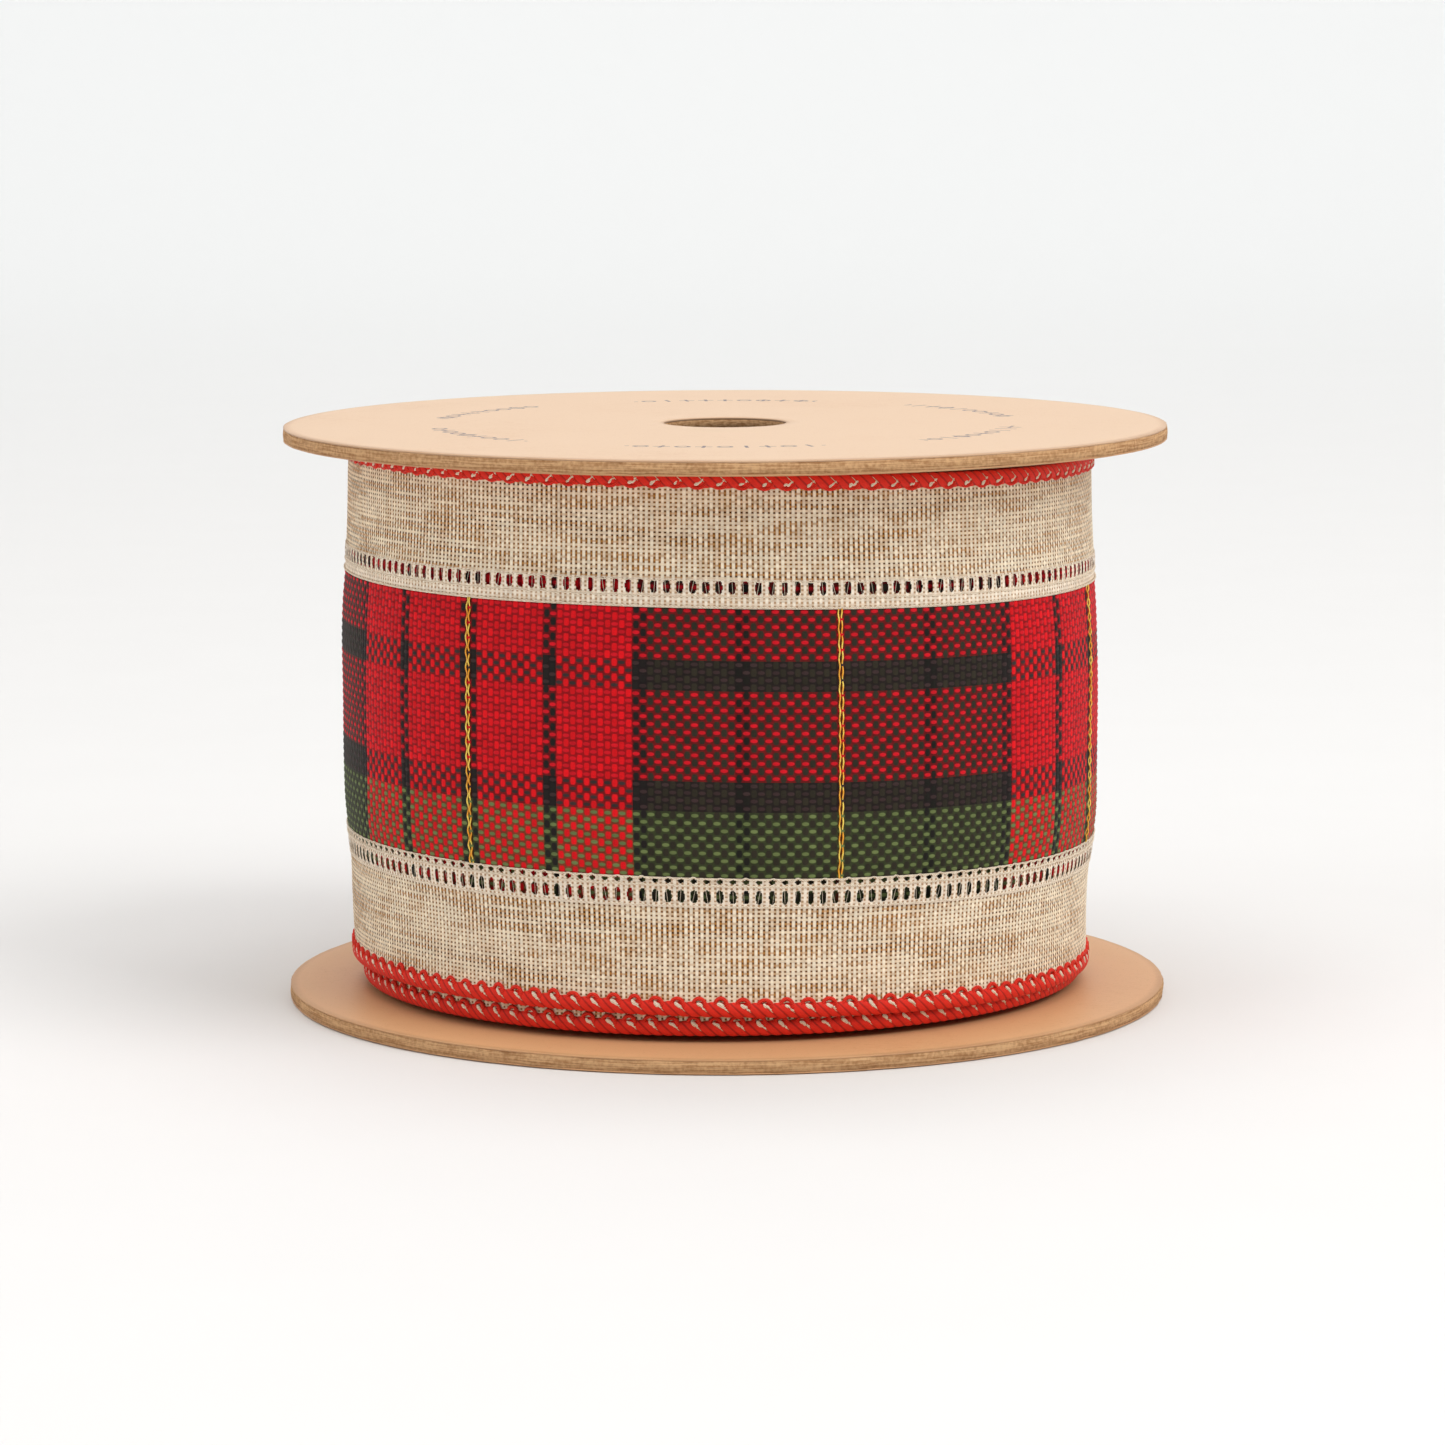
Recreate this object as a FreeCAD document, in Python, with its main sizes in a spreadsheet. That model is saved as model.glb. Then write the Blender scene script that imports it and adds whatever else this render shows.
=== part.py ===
import FreeCAD, Part

import math
import os

import Sketcher

# A spool of wired ribbon.
#
# Two kraft-board flanges are glued to the ends of a paper core tube. The ribbon is one long band, wound on
# the core as a spiral: linen borders, a plaid middle band, an openwork seam between them, and an overlocked
# edging with a wire inside along both edges. The outermost turn is loose. It stands higher than the turns
# inside it and can slide along the spool, and its free end lies on the back of the roll and can be lifted.
#
# Frame: millimetres, +Z along the spool's axis, origin at the centre of the lower outer face. The ribbon
# faces -Y, and its free end is at +Y.

# The driving dimensions: alias, value, meaning.
DIMENSIONS = [
    ("flange_diameter", 108.0, "outer diameter of both flanges"),
    ("spindle_hole", 15.0, "hole through both flanges, for a dowel"),
    ("board_thickness", 1.35, "grey board inside a flange"),
    ("paper_thickness", 0.25, "kraft paper on each face of a flange"),
    ("core_bore", 42.0, "inside diameter of the core tube"),
    ("core_wall", 2.0, "wall of the core tube"),
    ("glue_leg", 1.5, "leg of the glue fillet inside each end of the core"),
    ("ribbon_width", 63.0, "width of the ribbon, edge to edge"),
    ("plaid_width", 31.2, "width of the plaid middle band"),
    ("seam_width", 2.9, "width of each openwork seam"),
    ("edging_width", 2.2, "width of the overlocked edging"),
    ("edging_thickness", 0.75, "thickness of the overlocked edging"),
    ("linen_thickness", 0.5, "thickness of the linen borders and seams"),
    ("plaid_thickness", 0.7, "thickness of the plaid band"),
    ("wire_size", 0.36, "side of the wire inside the edging"),
    ("axial_play", 3.85, "room that the ribbon has between the flanges"),
    ("inner_rest", 0.8, "height of the inner turns above the lower flange"),
    ("outer_rest", 2.75, "height of the outer turn above the lower flange"),
    ("plaid_bulge", 0.35, "how far the outer turn's plaid stands proud of its borders"),
    ("turn_gap", 0.3, "air between one turn's edging and the next"),
    ("inner_turns", 20.0, "whole turns under the outer turn"),
    ("core_gap", 0.2, "room between the core and the first turn, for the start tape"),
    ("body_gap", 0.35, "cut in the ribbon where one moving stretch ends and the next begins"),
    ("tail_angle", 38.0, "arc of the free end, in degrees"),
    ("start_tape_width", 20.0, "width of the tape that starts the ribbon on the core"),
    ("start_tape_angle", 50.0, "arc of the start tape, in degrees"),
    ("end_tape_width", 19.0, "width of the tape on the free end"),
    ("end_tape_length", 22.0, "length of the tape on the free end"),
    ("end_tape_overlap", 12.0, "how much of that length lies on the free end"),
    ("tape_thickness", 0.12, "thickness of both tapes"),
    ("tape_gap", 0.03, "room under the end tape"),
]

# Heights along Z, as expressions on the sheet.
FLANGE = "(sizes.board_thickness + 2 * sizes.paper_thickness)"
CLEAR_HEIGHT = "(sizes.ribbon_width + sizes.axial_play)"
TOP_FLANGE_BASE = f"({FLANGE} + {CLEAR_HEIGHT})"
BORDER = "((sizes.ribbon_width - sizes.plaid_width) / 2 - sizes.seam_width - sizes.edging_width)"
CORE_RADIUS = "(sizes.core_bore / 2 + sizes.core_wall)"

# The ribbon across its width, from its lower edge up: name, lower edge, width. Each strip runs the whole
# length of the ribbon.
LOWER_SEAM_BASE = f"(sizes.edging_width + {BORDER})"
PLAID_BASE = f"({LOWER_SEAM_BASE} + sizes.seam_width)"
UPPER_SEAM_BASE = f"({PLAID_BASE} + sizes.plaid_width)"
UPPER_BORDER_BASE = f"({UPPER_SEAM_BASE} + sizes.seam_width)"
UPPER_EDGING_BASE = f"({UPPER_BORDER_BASE} + {BORDER})"
FLAT_STRIPS = [
    ("lower_border", "sizes.edging_width", BORDER, "linen"),
    ("lower_seam", LOWER_SEAM_BASE, "sizes.seam_width", "linen"),
    ("plaid_band", PLAID_BASE, "sizes.plaid_width", "plaid"),
    ("upper_seam", UPPER_SEAM_BASE, "sizes.seam_width", "linen"),
    ("upper_border", UPPER_BORDER_BASE, BORDER, "linen"),
]
EDGINGS = [("lower", "0"), ("upper", UPPER_EDGING_BASE)]

document = FreeCAD.newDocument("ribbon_spool")
sizes = document.addObject("Spreadsheet::Sheet", "sizes")
for row, (alias, value, meaning) in enumerate(DIMENSIONS, start=1):
    sizes.set(f"A{row}", meaning)
    sizes.set(f"B{row}", str(value))
    sizes.setAlias(f"B{row}", alias)
document.recompute()

sub_parts = []


def size(expression):
    """The value of an expression on the sheet, as a plain number."""
    value = sizes.evalExpression(expression.replace("sizes.", ""))
    return float(getattr(value, "Value", value))


def keep(body, height):
    """Stands a sub-part at a height along the axis and lists it for export."""
    body.setExpression("Placement.Base.z", f"({height}) * 1 mm")
    sub_parts.append(body)


def new_sketch(body, plane, name):
    """A sketch on one of the body's own origin planes."""
    sketch = body.newObject("Sketcher::SketchObject", name)
    origin_plane = next(f for f in body.Origin.OriginFeatures if f.Role == plane)
    sketch.AttachmentSupport = [(origin_plane, "")]
    sketch.MapMode = "FlatFace"
    return sketch


def bind(sketch, constraint, name, expression):
    """Adds a named dimension to a sketch and ties it to the sheet."""
    index = sketch.addConstraint(constraint)
    sketch.renameConstraint(index, name)
    sketch.setExpression(f"Constraints.{name}", expression)


def ring_sketch(body, name, outer_diameter, inner_diameter):
    """Two circles about the axis."""
    sketch = new_sketch(body, "XY_Plane", name)
    for side, diameter in (("outer", outer_diameter), ("inner", inner_diameter)):
        radius = size(diameter) / 2
        index = sketch.addGeometry(Part.Circle(FreeCAD.Vector(0, 0, 0), FreeCAD.Vector(0, 0, 1), radius))
        sketch.addConstraint(Sketcher.Constraint("Coincident", index, 3, -1, 1))
        bind(sketch, Sketcher.Constraint("Diameter", index, 2 * radius), side, diameter)
    return sketch


def ring_body(label, outer_diameter, inner_diameter, thickness, height):
    """A flat ring or a straight tube: two circles, padded."""
    body = document.addObject("PartDesign::Body", label)
    sketch = ring_sketch(body, label + "_sketch", outer_diameter, inner_diameter)
    pad = body.newObject("PartDesign::Pad", label + "_pad")
    pad.Profile = sketch
    pad.setExpression("Length", thickness)
    keep(body, height)


def profile_sketch(body, name, corners):
    """A closed outline on the XZ plane. Each corner is a pair of expressions: radius and height."""
    sketch = new_sketch(body, "XZ_Plane", name)
    points = [FreeCAD.Vector(size(radius), size(height), 0) for radius, height in corners]
    count = len(points)
    for number in range(count):
        sketch.addGeometry(Part.LineSegment(points[number], points[(number + 1) % count]))
    for number in range(count):
        sketch.addConstraint(Sketcher.Constraint("Coincident", number, 2, (number + 1) % count, 1))
    for number, (radius, height) in enumerate(corners):
        across = Sketcher.Constraint("DistanceX", -1, 1, number, 1, points[number].x)
        bind(sketch, across, f"radius_{number}", radius)
        along = Sketcher.Constraint("DistanceY", -1, 1, number, 1, points[number].y)
        bind(sketch, along, f"height_{number}", height)
    return sketch


def turned_body(label, corners, height, angle="360", turned_by="0"):
    """An outline turned about the axis, through a whole turn or part of one."""
    body = document.addObject("PartDesign::Body", label)
    sketch = profile_sketch(body, label + "_sketch", corners)
    turn = body.newObject("PartDesign::Revolution", label + "_turn")
    turn.Profile = sketch
    turn.ReferenceAxis = (sketch, ["V_Axis"])
    turn.setExpression("Angle", angle)
    body.Placement.Rotation = FreeCAD.Rotation(FreeCAD.Vector(0, 0, 1), size(turned_by))
    keep(body, height)


# The spiral. It is made of half turns about two centres that lie a quarter of the pitch each side of the
# axis, so each half turn runs smoothly into the next and one turn gains one pitch. A place on it is given
# in turns from the start of the ribbon.

PITCH = size("sizes.edging_thickness + sizes.turn_gap")
FIRST_RADIUS = size(f"{CORE_RADIUS} + sizes.core_gap + sizes.edging_thickness / 2")
BACK = 90.0  # degrees: the spiral starts, and ends, at the back


def spiral_centre(half_turn):
    """The centre of one half turn."""
    return FreeCAD.Vector(-PITCH / 4 if half_turn % 2 == 0 else PITCH / 4, 0, 0)


def spiral_radius(half_turn):
    """The radius of one half turn about its own centre, at the middle of the ribbon's thickness."""
    return FIRST_RADIUS + PITCH / 4 + half_turn * PITCH / 2


def spiral_arcs(first, last, offset):
    """The arcs of the spiral between two places, moved outward by an offset."""
    arcs = []
    half_turn = math.floor(2 * first)
    while half_turn / 2 < last:
        begin = max(first, half_turn / 2)
        end = min(last, (half_turn + 1) / 2)
        centre, radius = spiral_centre(half_turn), spiral_radius(half_turn) + offset
        circle = Part.Circle(centre, FreeCAD.Vector(0, 0, 1), radius)
        arcs.append(Part.Arc(circle, 2 * math.pi * begin, 2 * math.pi * end))
        half_turn += 1
    return arcs


def spiral_face(first, last, inner_offset, outer_offset):
    """The strip between two offsets of the spiral, as seen from above."""
    inner = spiral_arcs(first, last, inner_offset)
    outer = spiral_arcs(first, last, outer_offset)
    start = Part.LineSegment(inner[0].StartPoint, outer[0].StartPoint)
    end = Part.LineSegment(outer[-1].EndPoint, inner[-1].EndPoint)
    edges = [curve.toShape() for curve in [start, *outer, end, *reversed(inner)]]
    face = Part.Face(Part.Wire(Part.__sortEdges__(edges)))
    face.rotate(FreeCAD.Vector(0, 0, 0), FreeCAD.Vector(0, 0, 1), BACK)
    return face


def outline(name, first, last, inner_offset, outer_offset):
    """A strip's outline as an object of the document."""
    feature = document.addObject("Part::Feature", name)
    feature.Shape = spiral_face(first, last, inner_offset, outer_offset)
    return feature


def raised(name, base, height, width):
    """An outline raised along the axis, from a height and by a width."""
    strip = document.addObject("Part::Extrusion", name)
    strip.Base = base
    strip.DirMode = "Custom"
    strip.Dir = FreeCAD.Vector(0, 0, 1)
    strip.Solid = True
    strip.setExpression("LengthFwd", f"({width}) * 1 mm")
    strip.setExpression("Placement.Base.z", f"({height}) * 1 mm")
    return strip


def wound_stretch(stretch, first, last, rest, bulge):
    """One stretch of the ribbon: its five flat strips, and an edging and a wire along each edge."""
    linen, plaid = size("sizes.linen_thickness"), size("sizes.plaid_thickness")
    edging, wire = size("sizes.edging_thickness"), size("sizes.wire_size")
    outlines = {
        "linen": outline(f"{stretch}_linen_outline", first, last, -linen / 2, linen / 2),
        "plaid": outline(f"{stretch}_plaid_outline", first, last, bulge - plaid / 2, bulge + plaid / 2),
        "edging": outline(f"{stretch}_edging_outline", first, last, -edging / 2, edging / 2),
        "wire": outline(f"{stretch}_wire_outline", first, last, -wire / 2, wire / 2),
    }
    ribbon_base = f"({FLANGE} + sizes.{rest})"
    for name, base, width, cloth in FLAT_STRIPS:
        sub_parts.append(raised(f"{stretch}_{name}", outlines[cloth], f"{ribbon_base} + {base}", width))
    for edge, base in EDGINGS:
        edging_base = f"{ribbon_base} + {base}"
        wire_base = f"{edging_base} + (sizes.edging_width - sizes.wire_size) / 2"
        wire_strip = raised(f"{stretch}_{edge}_wire", outlines["wire"], wire_base, "sizes.wire_size")
        blank = raised(f"{stretch}_{edge}_blank", outlines["edging"], edging_base, "sizes.edging_width")
        edging_strip = document.addObject("Part::Cut", f"{stretch}_{edge}_edging")
        edging_strip.Base = blank
        edging_strip.Tool = wire_strip
        sub_parts.extend([edging_strip, wire_strip])


def flange(side, outer_face_height, outward):
    """One flange: grey board between two sheets of kraft paper. Outward is -1 below and +1 above."""
    paper, board = "sizes.paper_thickness", "sizes.board_thickness"
    lower, upper = ("outer_paper", "inner_paper") if outward < 0 else ("inner_paper", "outer_paper")
    layers = [(lower, paper), ("board", board), (upper, paper)]
    height = outer_face_height
    for name, thickness in layers:
        ring_body(f"{side}_flange_{name}", "sizes.flange_diameter", "sizes.spindle_hole", thickness, height)
        height = f"{height} + {thickness}"


def core():
    """The core tube between the flanges, with a glue fillet inside each end."""
    ring_body("core_tube", f"2 * {CORE_RADIUS}", "sizes.core_bore", CLEAR_HEIGHT, FLANGE)
    wall, inward = "sizes.core_bore / 2", "sizes.core_bore / 2 - sizes.glue_leg"
    lower_fillet = [(wall, "0"), (wall, "sizes.glue_leg"), (inward, "0")]
    upper_fillet = [(wall, "0"), (inward, "0"), (wall, "-sizes.glue_leg")]
    turned_body("bottom_glue_ring", lower_fillet, FLANGE)
    turned_body("top_glue_ring", upper_fillet, TOP_FLANGE_BASE)


def tape_corners(inner_radius, width):
    """The section of a tape: its thickness outward from a radius, and its width either side of zero."""
    outer_radius = f"{inner_radius} + sizes.tape_thickness"
    low, high = f"-{width} / 2", f"{width} / 2"
    return [(inner_radius, low), (outer_radius, low), (outer_radius, high), (inner_radius, high)]


def start_tape():
    """The tape on the core, under the start of the first turn."""
    corners = tape_corners(CORE_RADIUS, "sizes.start_tape_width")
    middle = f"{FLANGE} + sizes.inner_rest + sizes.ribbon_width / 2"
    turned_body("start_tape", corners, middle, "sizes.start_tape_angle", str(BACK))


def end_tape(tail_start):
    """The tape on the free end. Part of it lies on the free end and the rest reaches past its edge."""
    tail_half_turn = math.floor(2 * tail_start)
    proud = size("sizes.plaid_bulge + sizes.plaid_thickness / 2 + sizes.tape_gap")
    radius = spiral_radius(tail_half_turn) + proud
    thickness = size("sizes.tape_thickness")
    length, overlap = size("sizes.end_tape_length"), size("sizes.end_tape_overlap")
    tail_end = math.radians(size("sizes.tail_angle"))
    first = tail_end - overlap / radius
    last = first + length / radius
    centre, axis = spiral_centre(tail_half_turn), FreeCAD.Vector(0, 0, 1)
    inner_arc, outer_arc = (
        Part.Arc(Part.Circle(centre, axis, r), first, last) for r in (radius, radius + thickness)
    )
    start = Part.LineSegment(inner_arc.StartPoint, outer_arc.StartPoint)
    end = Part.LineSegment(outer_arc.EndPoint, inner_arc.EndPoint)
    edges = [curve.toShape() for curve in (start, outer_arc, end, inner_arc)]
    base = document.addObject("Part::Feature", "end_tape_outline")
    base.Shape = Part.Face(Part.Wire(Part.__sortEdges__(edges)))
    base.Shape = base.Shape.rotated(FreeCAD.Vector(0, 0, 0), axis, BACK)
    low = f"{FLANGE} + sizes.outer_rest + (sizes.ribbon_width - sizes.end_tape_width) / 2"
    tape = raised("end_tape", base, low, "sizes.end_tape_width")
    sub_parts.append(tape)


def ribbon():
    """The whole ribbon, in three stretches: the inner turns, the outer turn and the free end."""
    turns = size("sizes.inner_turns")
    cut = size("sizes.body_gap") / (2 * math.pi * (FIRST_RADIUS + turns * PITCH))
    outer_start, tail_start = turns, turns + 1
    tail_end = tail_start + size("sizes.tail_angle") / 360
    bulge = size("sizes.plaid_bulge")
    wound_stretch("inner", 0, turns, "inner_rest", 0)
    wound_stretch("outer", outer_start + cut, tail_start, "outer_rest", bulge)
    wound_stretch("tail", tail_start + cut, tail_end, "outer_rest", bulge)
    end_tape(tail_start)
    report_lift_axis(tail_start)


def report_lift_axis(tail_start):
    """Prints where the free end is hinged: on the outer face of the ribbon, where the outer turn ends."""
    proud = size("sizes.plaid_bulge + sizes.plaid_thickness / 2")
    half_turn = math.floor(2 * tail_start)
    reach = spiral_centre(half_turn).x + spiral_radius(half_turn) + proud
    cut = size("sizes.body_gap")
    print(f"lift axis: x {-cut / 2:.4f}, y {reach:.4f} mm")


def check():
    """Stops the script if any object failed, or if a sub-part has no valid solid."""
    for item in document.Objects:
        if "Invalid" in item.State or "Error" in item.State:
            raise RuntimeError(f"{item.Label} failed: {item.State}")
    for item in sub_parts:
        if item.Shape.isNull() or not item.Shape.isValid() or not item.Shape.Solids:
            raise RuntimeError(f"{item.Label} has no valid solid")


def export():
    """Writes one STEP file for each sub-part."""
    os.makedirs("parts", exist_ok=True)
    for item in sub_parts:
        item.Shape.exportStep(f"parts/{item.Label}.step")
        print(f"{item.Label}: {item.Shape.Volume:.1f} mm3, {len(item.Shape.Solids)} solid")


flange("bottom", "0", -1)
flange("top", TOP_FLANGE_BASE, 1)
core()
start_tape()
ribbon()
document.recompute()
check()
export()
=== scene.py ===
import logging
import math
from dataclasses import dataclass
from enum import Enum
from typing import Callable, Sequence

import bpy
import numpy as np
from mathutils import Matrix, Vector


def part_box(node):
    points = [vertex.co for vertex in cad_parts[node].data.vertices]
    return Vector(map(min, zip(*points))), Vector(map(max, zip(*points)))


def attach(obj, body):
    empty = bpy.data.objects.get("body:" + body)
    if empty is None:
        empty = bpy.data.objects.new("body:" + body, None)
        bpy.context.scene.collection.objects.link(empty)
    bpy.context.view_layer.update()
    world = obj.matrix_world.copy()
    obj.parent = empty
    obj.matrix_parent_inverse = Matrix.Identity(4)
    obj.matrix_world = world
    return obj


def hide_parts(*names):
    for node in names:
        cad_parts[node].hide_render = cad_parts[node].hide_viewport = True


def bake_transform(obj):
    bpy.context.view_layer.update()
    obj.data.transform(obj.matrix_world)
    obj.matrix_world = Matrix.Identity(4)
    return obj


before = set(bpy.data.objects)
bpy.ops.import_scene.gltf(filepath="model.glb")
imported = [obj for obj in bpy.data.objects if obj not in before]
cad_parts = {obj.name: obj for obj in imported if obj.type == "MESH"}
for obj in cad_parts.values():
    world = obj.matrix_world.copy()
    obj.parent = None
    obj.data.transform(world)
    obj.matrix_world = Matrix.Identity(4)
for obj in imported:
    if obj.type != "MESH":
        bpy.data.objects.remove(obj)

log = logging.getLogger("ribbon_spool")

MM = 0.001
"""Sizes below are in millimetres; meshes are written in metres."""
TURN = 2 * math.pi
UP = np.array([0.0, 0.0, 1.0])
HOLE_RADIUS = 7.5
"""Radius of the hole through each flange."""

Colour = tuple[float, float, float]
Tint = bpy.types.NodeSocket | Colour
Knots = Sequence[tuple[float, float]]


def srgb(red: int, green: int, blue: int) -> Colour:
    """A colour given as it looks on a screen, as the linear values that a shader takes.

    Args:
        red: Red, from 0 to 255.
        green: Green, from 0 to 255.
        blue: Blue, from 0 to 255.

    Returns:
        The linear colour.
    """
    def linear(part: int) -> float:
        """One part of the colour, made linear."""
        share = part / 255
        return share / 12.92 if share <= 0.04045 else ((share + 0.055) / 1.055) ** 2.4

    return linear(red), linear(green), linear(blue)


def smooth_curve(places: np.ndarray, knots: Knots) -> np.ndarray:
    """A smooth curve through a few knots.

    Args:
        places: Where the curve is wanted.
        knots: Pairs of place and value, in order.

    Returns:
        The curve's values.
    """
    known, values = np.array(knots, float).T
    slopes = np.gradient(values, known)
    low = np.clip(np.searchsorted(known, places) - 1, 0, len(known) - 2)
    width = known[low + 1] - known[low]
    t = np.clip((places - known[low]) / width, 0, 1)
    rise = values[low] * (2 * t**3 - 3 * t**2 + 1) + values[low + 1] * (3 * t**2 - 2 * t**3)
    return rise + width * (slopes[low] * (t**3 - 2 * t**2 + t) + slopes[low + 1] * (t**3 - t**2))


# ------------------------------------------------------------------------------- finishes


class Value:
    """A number worked out by a material's nodes. Arithmetic on it adds maths nodes."""

    def __init__(self, nodes: "Nodes", socket: bpy.types.NodeSocket) -> None:
        """Keeps an output and the material that it belongs to."""
        self.nodes, self.socket = nodes, socket

    def __add__(self, other: "Amount") -> "Value":
        """The sum."""
        return self.nodes.math("ADD", self, other)

    def __sub__(self, other: "Amount") -> "Value":
        """The difference."""
        return self.nodes.math("SUBTRACT", self, other)

    def __rsub__(self, other: float) -> "Value":
        """A number less this value."""
        return self.nodes.math("SUBTRACT", other, self)

    def __mul__(self, other: "Amount") -> "Value":
        """The product."""
        return self.nodes.math("MULTIPLY", self, other)

    def __truediv__(self, other: float) -> "Value":
        """The quotient."""
        return self.nodes.math("DIVIDE", self, other)

    def __mod__(self, other: float) -> "Value":
        """What is left over after whole steps."""
        return self.nodes.math("FLOORED_MODULO", self, other)

    def __abs__(self) -> "Value":
        """Its size without its sign."""
        return self.nodes.math("ABSOLUTE", self)

    __radd__, __rmul__ = __add__, __mul__

    def floor(self) -> "Value":
        """The whole number below."""
        return self.nodes.math("FLOOR", self)

    def fraction(self) -> "Value":
        """What is left above the whole number."""
        return self.nodes.math("FRACT", self)

    def off_middle(self) -> "Value":
        """Distance from halfway between one whole number and the next."""
        return abs(self.fraction() - 0.5)

    def below(self, limit: float) -> "Value":
        """1 where it is less than a limit, and else 0."""
        return self.nodes.math("LESS_THAN", self, limit)

    def above(self, limit: float) -> "Value":
        """1 where it is more than a limit, and else 0."""
        return self.nodes.math("GREATER_THAN", self, limit)

    def or_more(self, other: "Value") -> "Value":
        """The greater of two."""
        return self.nodes.math("MAXIMUM", self, other)

    def step(self, low: float, high: float) -> "Value":
        """Rises smoothly from one place to another, or falls if the first is the greater.

        Args:
            low: Where the answer is 0.
            high: Where the answer is 1.

        Returns:
            The answer.
        """
        node = self.nodes.add("MapRange", self)
        node.interpolation_type = "SMOOTHSTEP"
        ends = (high, low, 1.0, 0.0) if low > high else (low, high, 0.0, 1.0)
        for number, end in enumerate(ends, start=1):
            node.inputs[number].default_value = end
        return Value(self.nodes, node.outputs[0])


Amount = Value | float


class Nodes:
    """A material's node tree, with short ways to add nodes and join them."""

    def __init__(self, name: str) -> None:
        """Makes the material with a Principled shader.

        Args:
            name: The material's name.
        """
        self.material = bpy.data.materials.new(name)
        self.material.use_nodes = True
        self.tree = self.material.node_tree
        self.shader = self.tree.nodes["Principled BSDF"]

    def join(self, value: object, socket: bpy.types.NodeSocket) -> None:
        """Links an output to a socket, or sets the socket's value.

        Args:
            value: The output, number or colour.
            socket: The socket.
        """
        if isinstance(value, Value):
            value = value.socket
        if isinstance(value, bpy.types.NodeSocket):
            self.tree.links.new(value, socket)
        elif isinstance(value, tuple) and socket.type == "RGBA":
            socket.default_value = (*value, 1.0)
        else:
            socket.default_value = value

    def add(self, kind: str, *values: object) -> bpy.types.Node:
        """Adds a node.

        Args:
            kind: Blender's name of it, without its first words.
            values: What goes into its first sockets.

        Returns:
            The node.
        """
        node = self.tree.nodes.new(f"ShaderNode{kind}")
        for value, socket in zip(values, node.inputs):
            self.join(value, socket)
        return node

    def math(self, operation: str, *values: Amount) -> Value:
        """A maths node.

        Args:
            operation: Blender's name of the operation.
            values: One or two numbers.

        Returns:
            The answer.
        """
        node = self.add("Math", *values)
        node.operation = operation
        return Value(self, node.outputs[0])

    def distance(self, first: Value, second: Value) -> Value:
        """The length of a line from its two parts."""
        return self.math("SQRT", first * first + second * second)

    def parts(self, vector: bpy.types.NodeSocket) -> list[Value]:
        """The three parts of a vector."""
        return [Value(self, part) for part in self.add("SeparateXYZ", vector).outputs]

    def vector(self, *values: Amount) -> bpy.types.NodeSocket:
        """A vector from its parts."""
        return self.add("CombineXYZ", *values).outputs[0]

    def uv(self, name: str) -> list[Value]:
        """The two parts of a UV map.

        Args:
            name: The map's name.

        Returns:
            The parts.
        """
        node = self.add("UVMap")
        node.uv_map = name
        return self.parts(node.outputs[0])[:2]

    def place(self) -> bpy.types.NodeSocket:
        """The point of the piece itself, in its own frame, in metres."""
        return self.add("TexCoord").outputs["Object"]

    def noise(self, vector: bpy.types.NodeSocket, scale: float, detail: float) -> Value:
        """Cloudy noise.

        Args:
            vector: Where it is looked up.
            scale: How fine it is.
            detail: How many finer layers it has.

        Returns:
            Its value, about 0.5 on average.
        """
        node = self.add("TexNoise", vector)
        node.inputs["Scale"].default_value = scale
        node.inputs["Detail"].default_value = detail
        return Value(self, node.outputs["Fac"])

    def chance(self, vector: bpy.types.NodeSocket) -> Value:
        """A random value for each place."""
        return Value(self, self.add("TexWhiteNoise", vector).outputs["Value"])

    def bands(self, share: Value, stops: Sequence[tuple[float, Colour]]) -> bpy.types.NodeSocket:
        """Bands of colour, each of which holds until the next.

        Args:
            share: Where the colour is looked up, from 0 to 1.
            stops: Pairs of the place where a band starts and its colour.

        Returns:
            The colour.
        """
        node = self.add("ValToRGB", share)
        node.color_ramp.interpolation = "CONSTANT"
        elements = node.color_ramp.elements
        elements.remove(elements[1])
        elements[0].position, elements[0].color = stops[0][0], (*stops[0][1], 1.0)
        for position, colour in stops[1:]:
            elements.new(position).color = (*colour, 1.0)
        return node.outputs[0]

    def mix(self, share: Amount, first: Tint, second: Tint, blend: str = "MIX") -> Tint:
        """Mixes two colours.

        Args:
            share: How much of the second.
            first: The first colour.
            second: The second colour.
            blend: Blender's name of the way they mix.

        Returns:
            The mixed colour.
        """
        node = self.add("Mix")
        node.data_type, node.blend_type = "RGBA", blend
        for value, number in ((share, 0), (first, 6), (second, 7)):
            self.join(value, node.inputs[number])
        return node.outputs[2]

    def shaded(self, colour: Tint, shade: Value) -> Tint:
        """A colour made darker or lighter."""
        return self.mix(1.0, colour, self.vector(shade, shade, shade), "MULTIPLY")

    def finish(self, colour: Tint, roughness: Amount, **uniform: float) -> bpy.types.Material:
        """Sets the shader's own sockets.

        Args:
            colour: Base colour.
            roughness: Roughness.
            uniform: Other sockets by name, with _ for a space.

        Returns:
            The material.
        """
        self.join(colour, self.shader.inputs["Base Color"])
        self.join(roughness, self.shader.inputs["Roughness"])
        for name, value in uniform.items():
            self.shader.inputs[name.replace("_", " ")].default_value = value
        return self.material

    def bump(self, height: Value, depth: float, strength: float) -> None:
        """Fine relief that the mesh doesn't carry.

        Args:
            height: Height, from 0 to 1.
            depth: What a height of 1 stands for, in millimetres.
            strength: Share of the effect.
        """
        node = self.add("Bump")
        node.inputs["Strength"].default_value = strength
        node.inputs["Distance"].default_value = depth * MM
        self.join(height, node.inputs["Height"])
        self.join(node.outputs[0], self.shader.inputs["Normal"])


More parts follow.
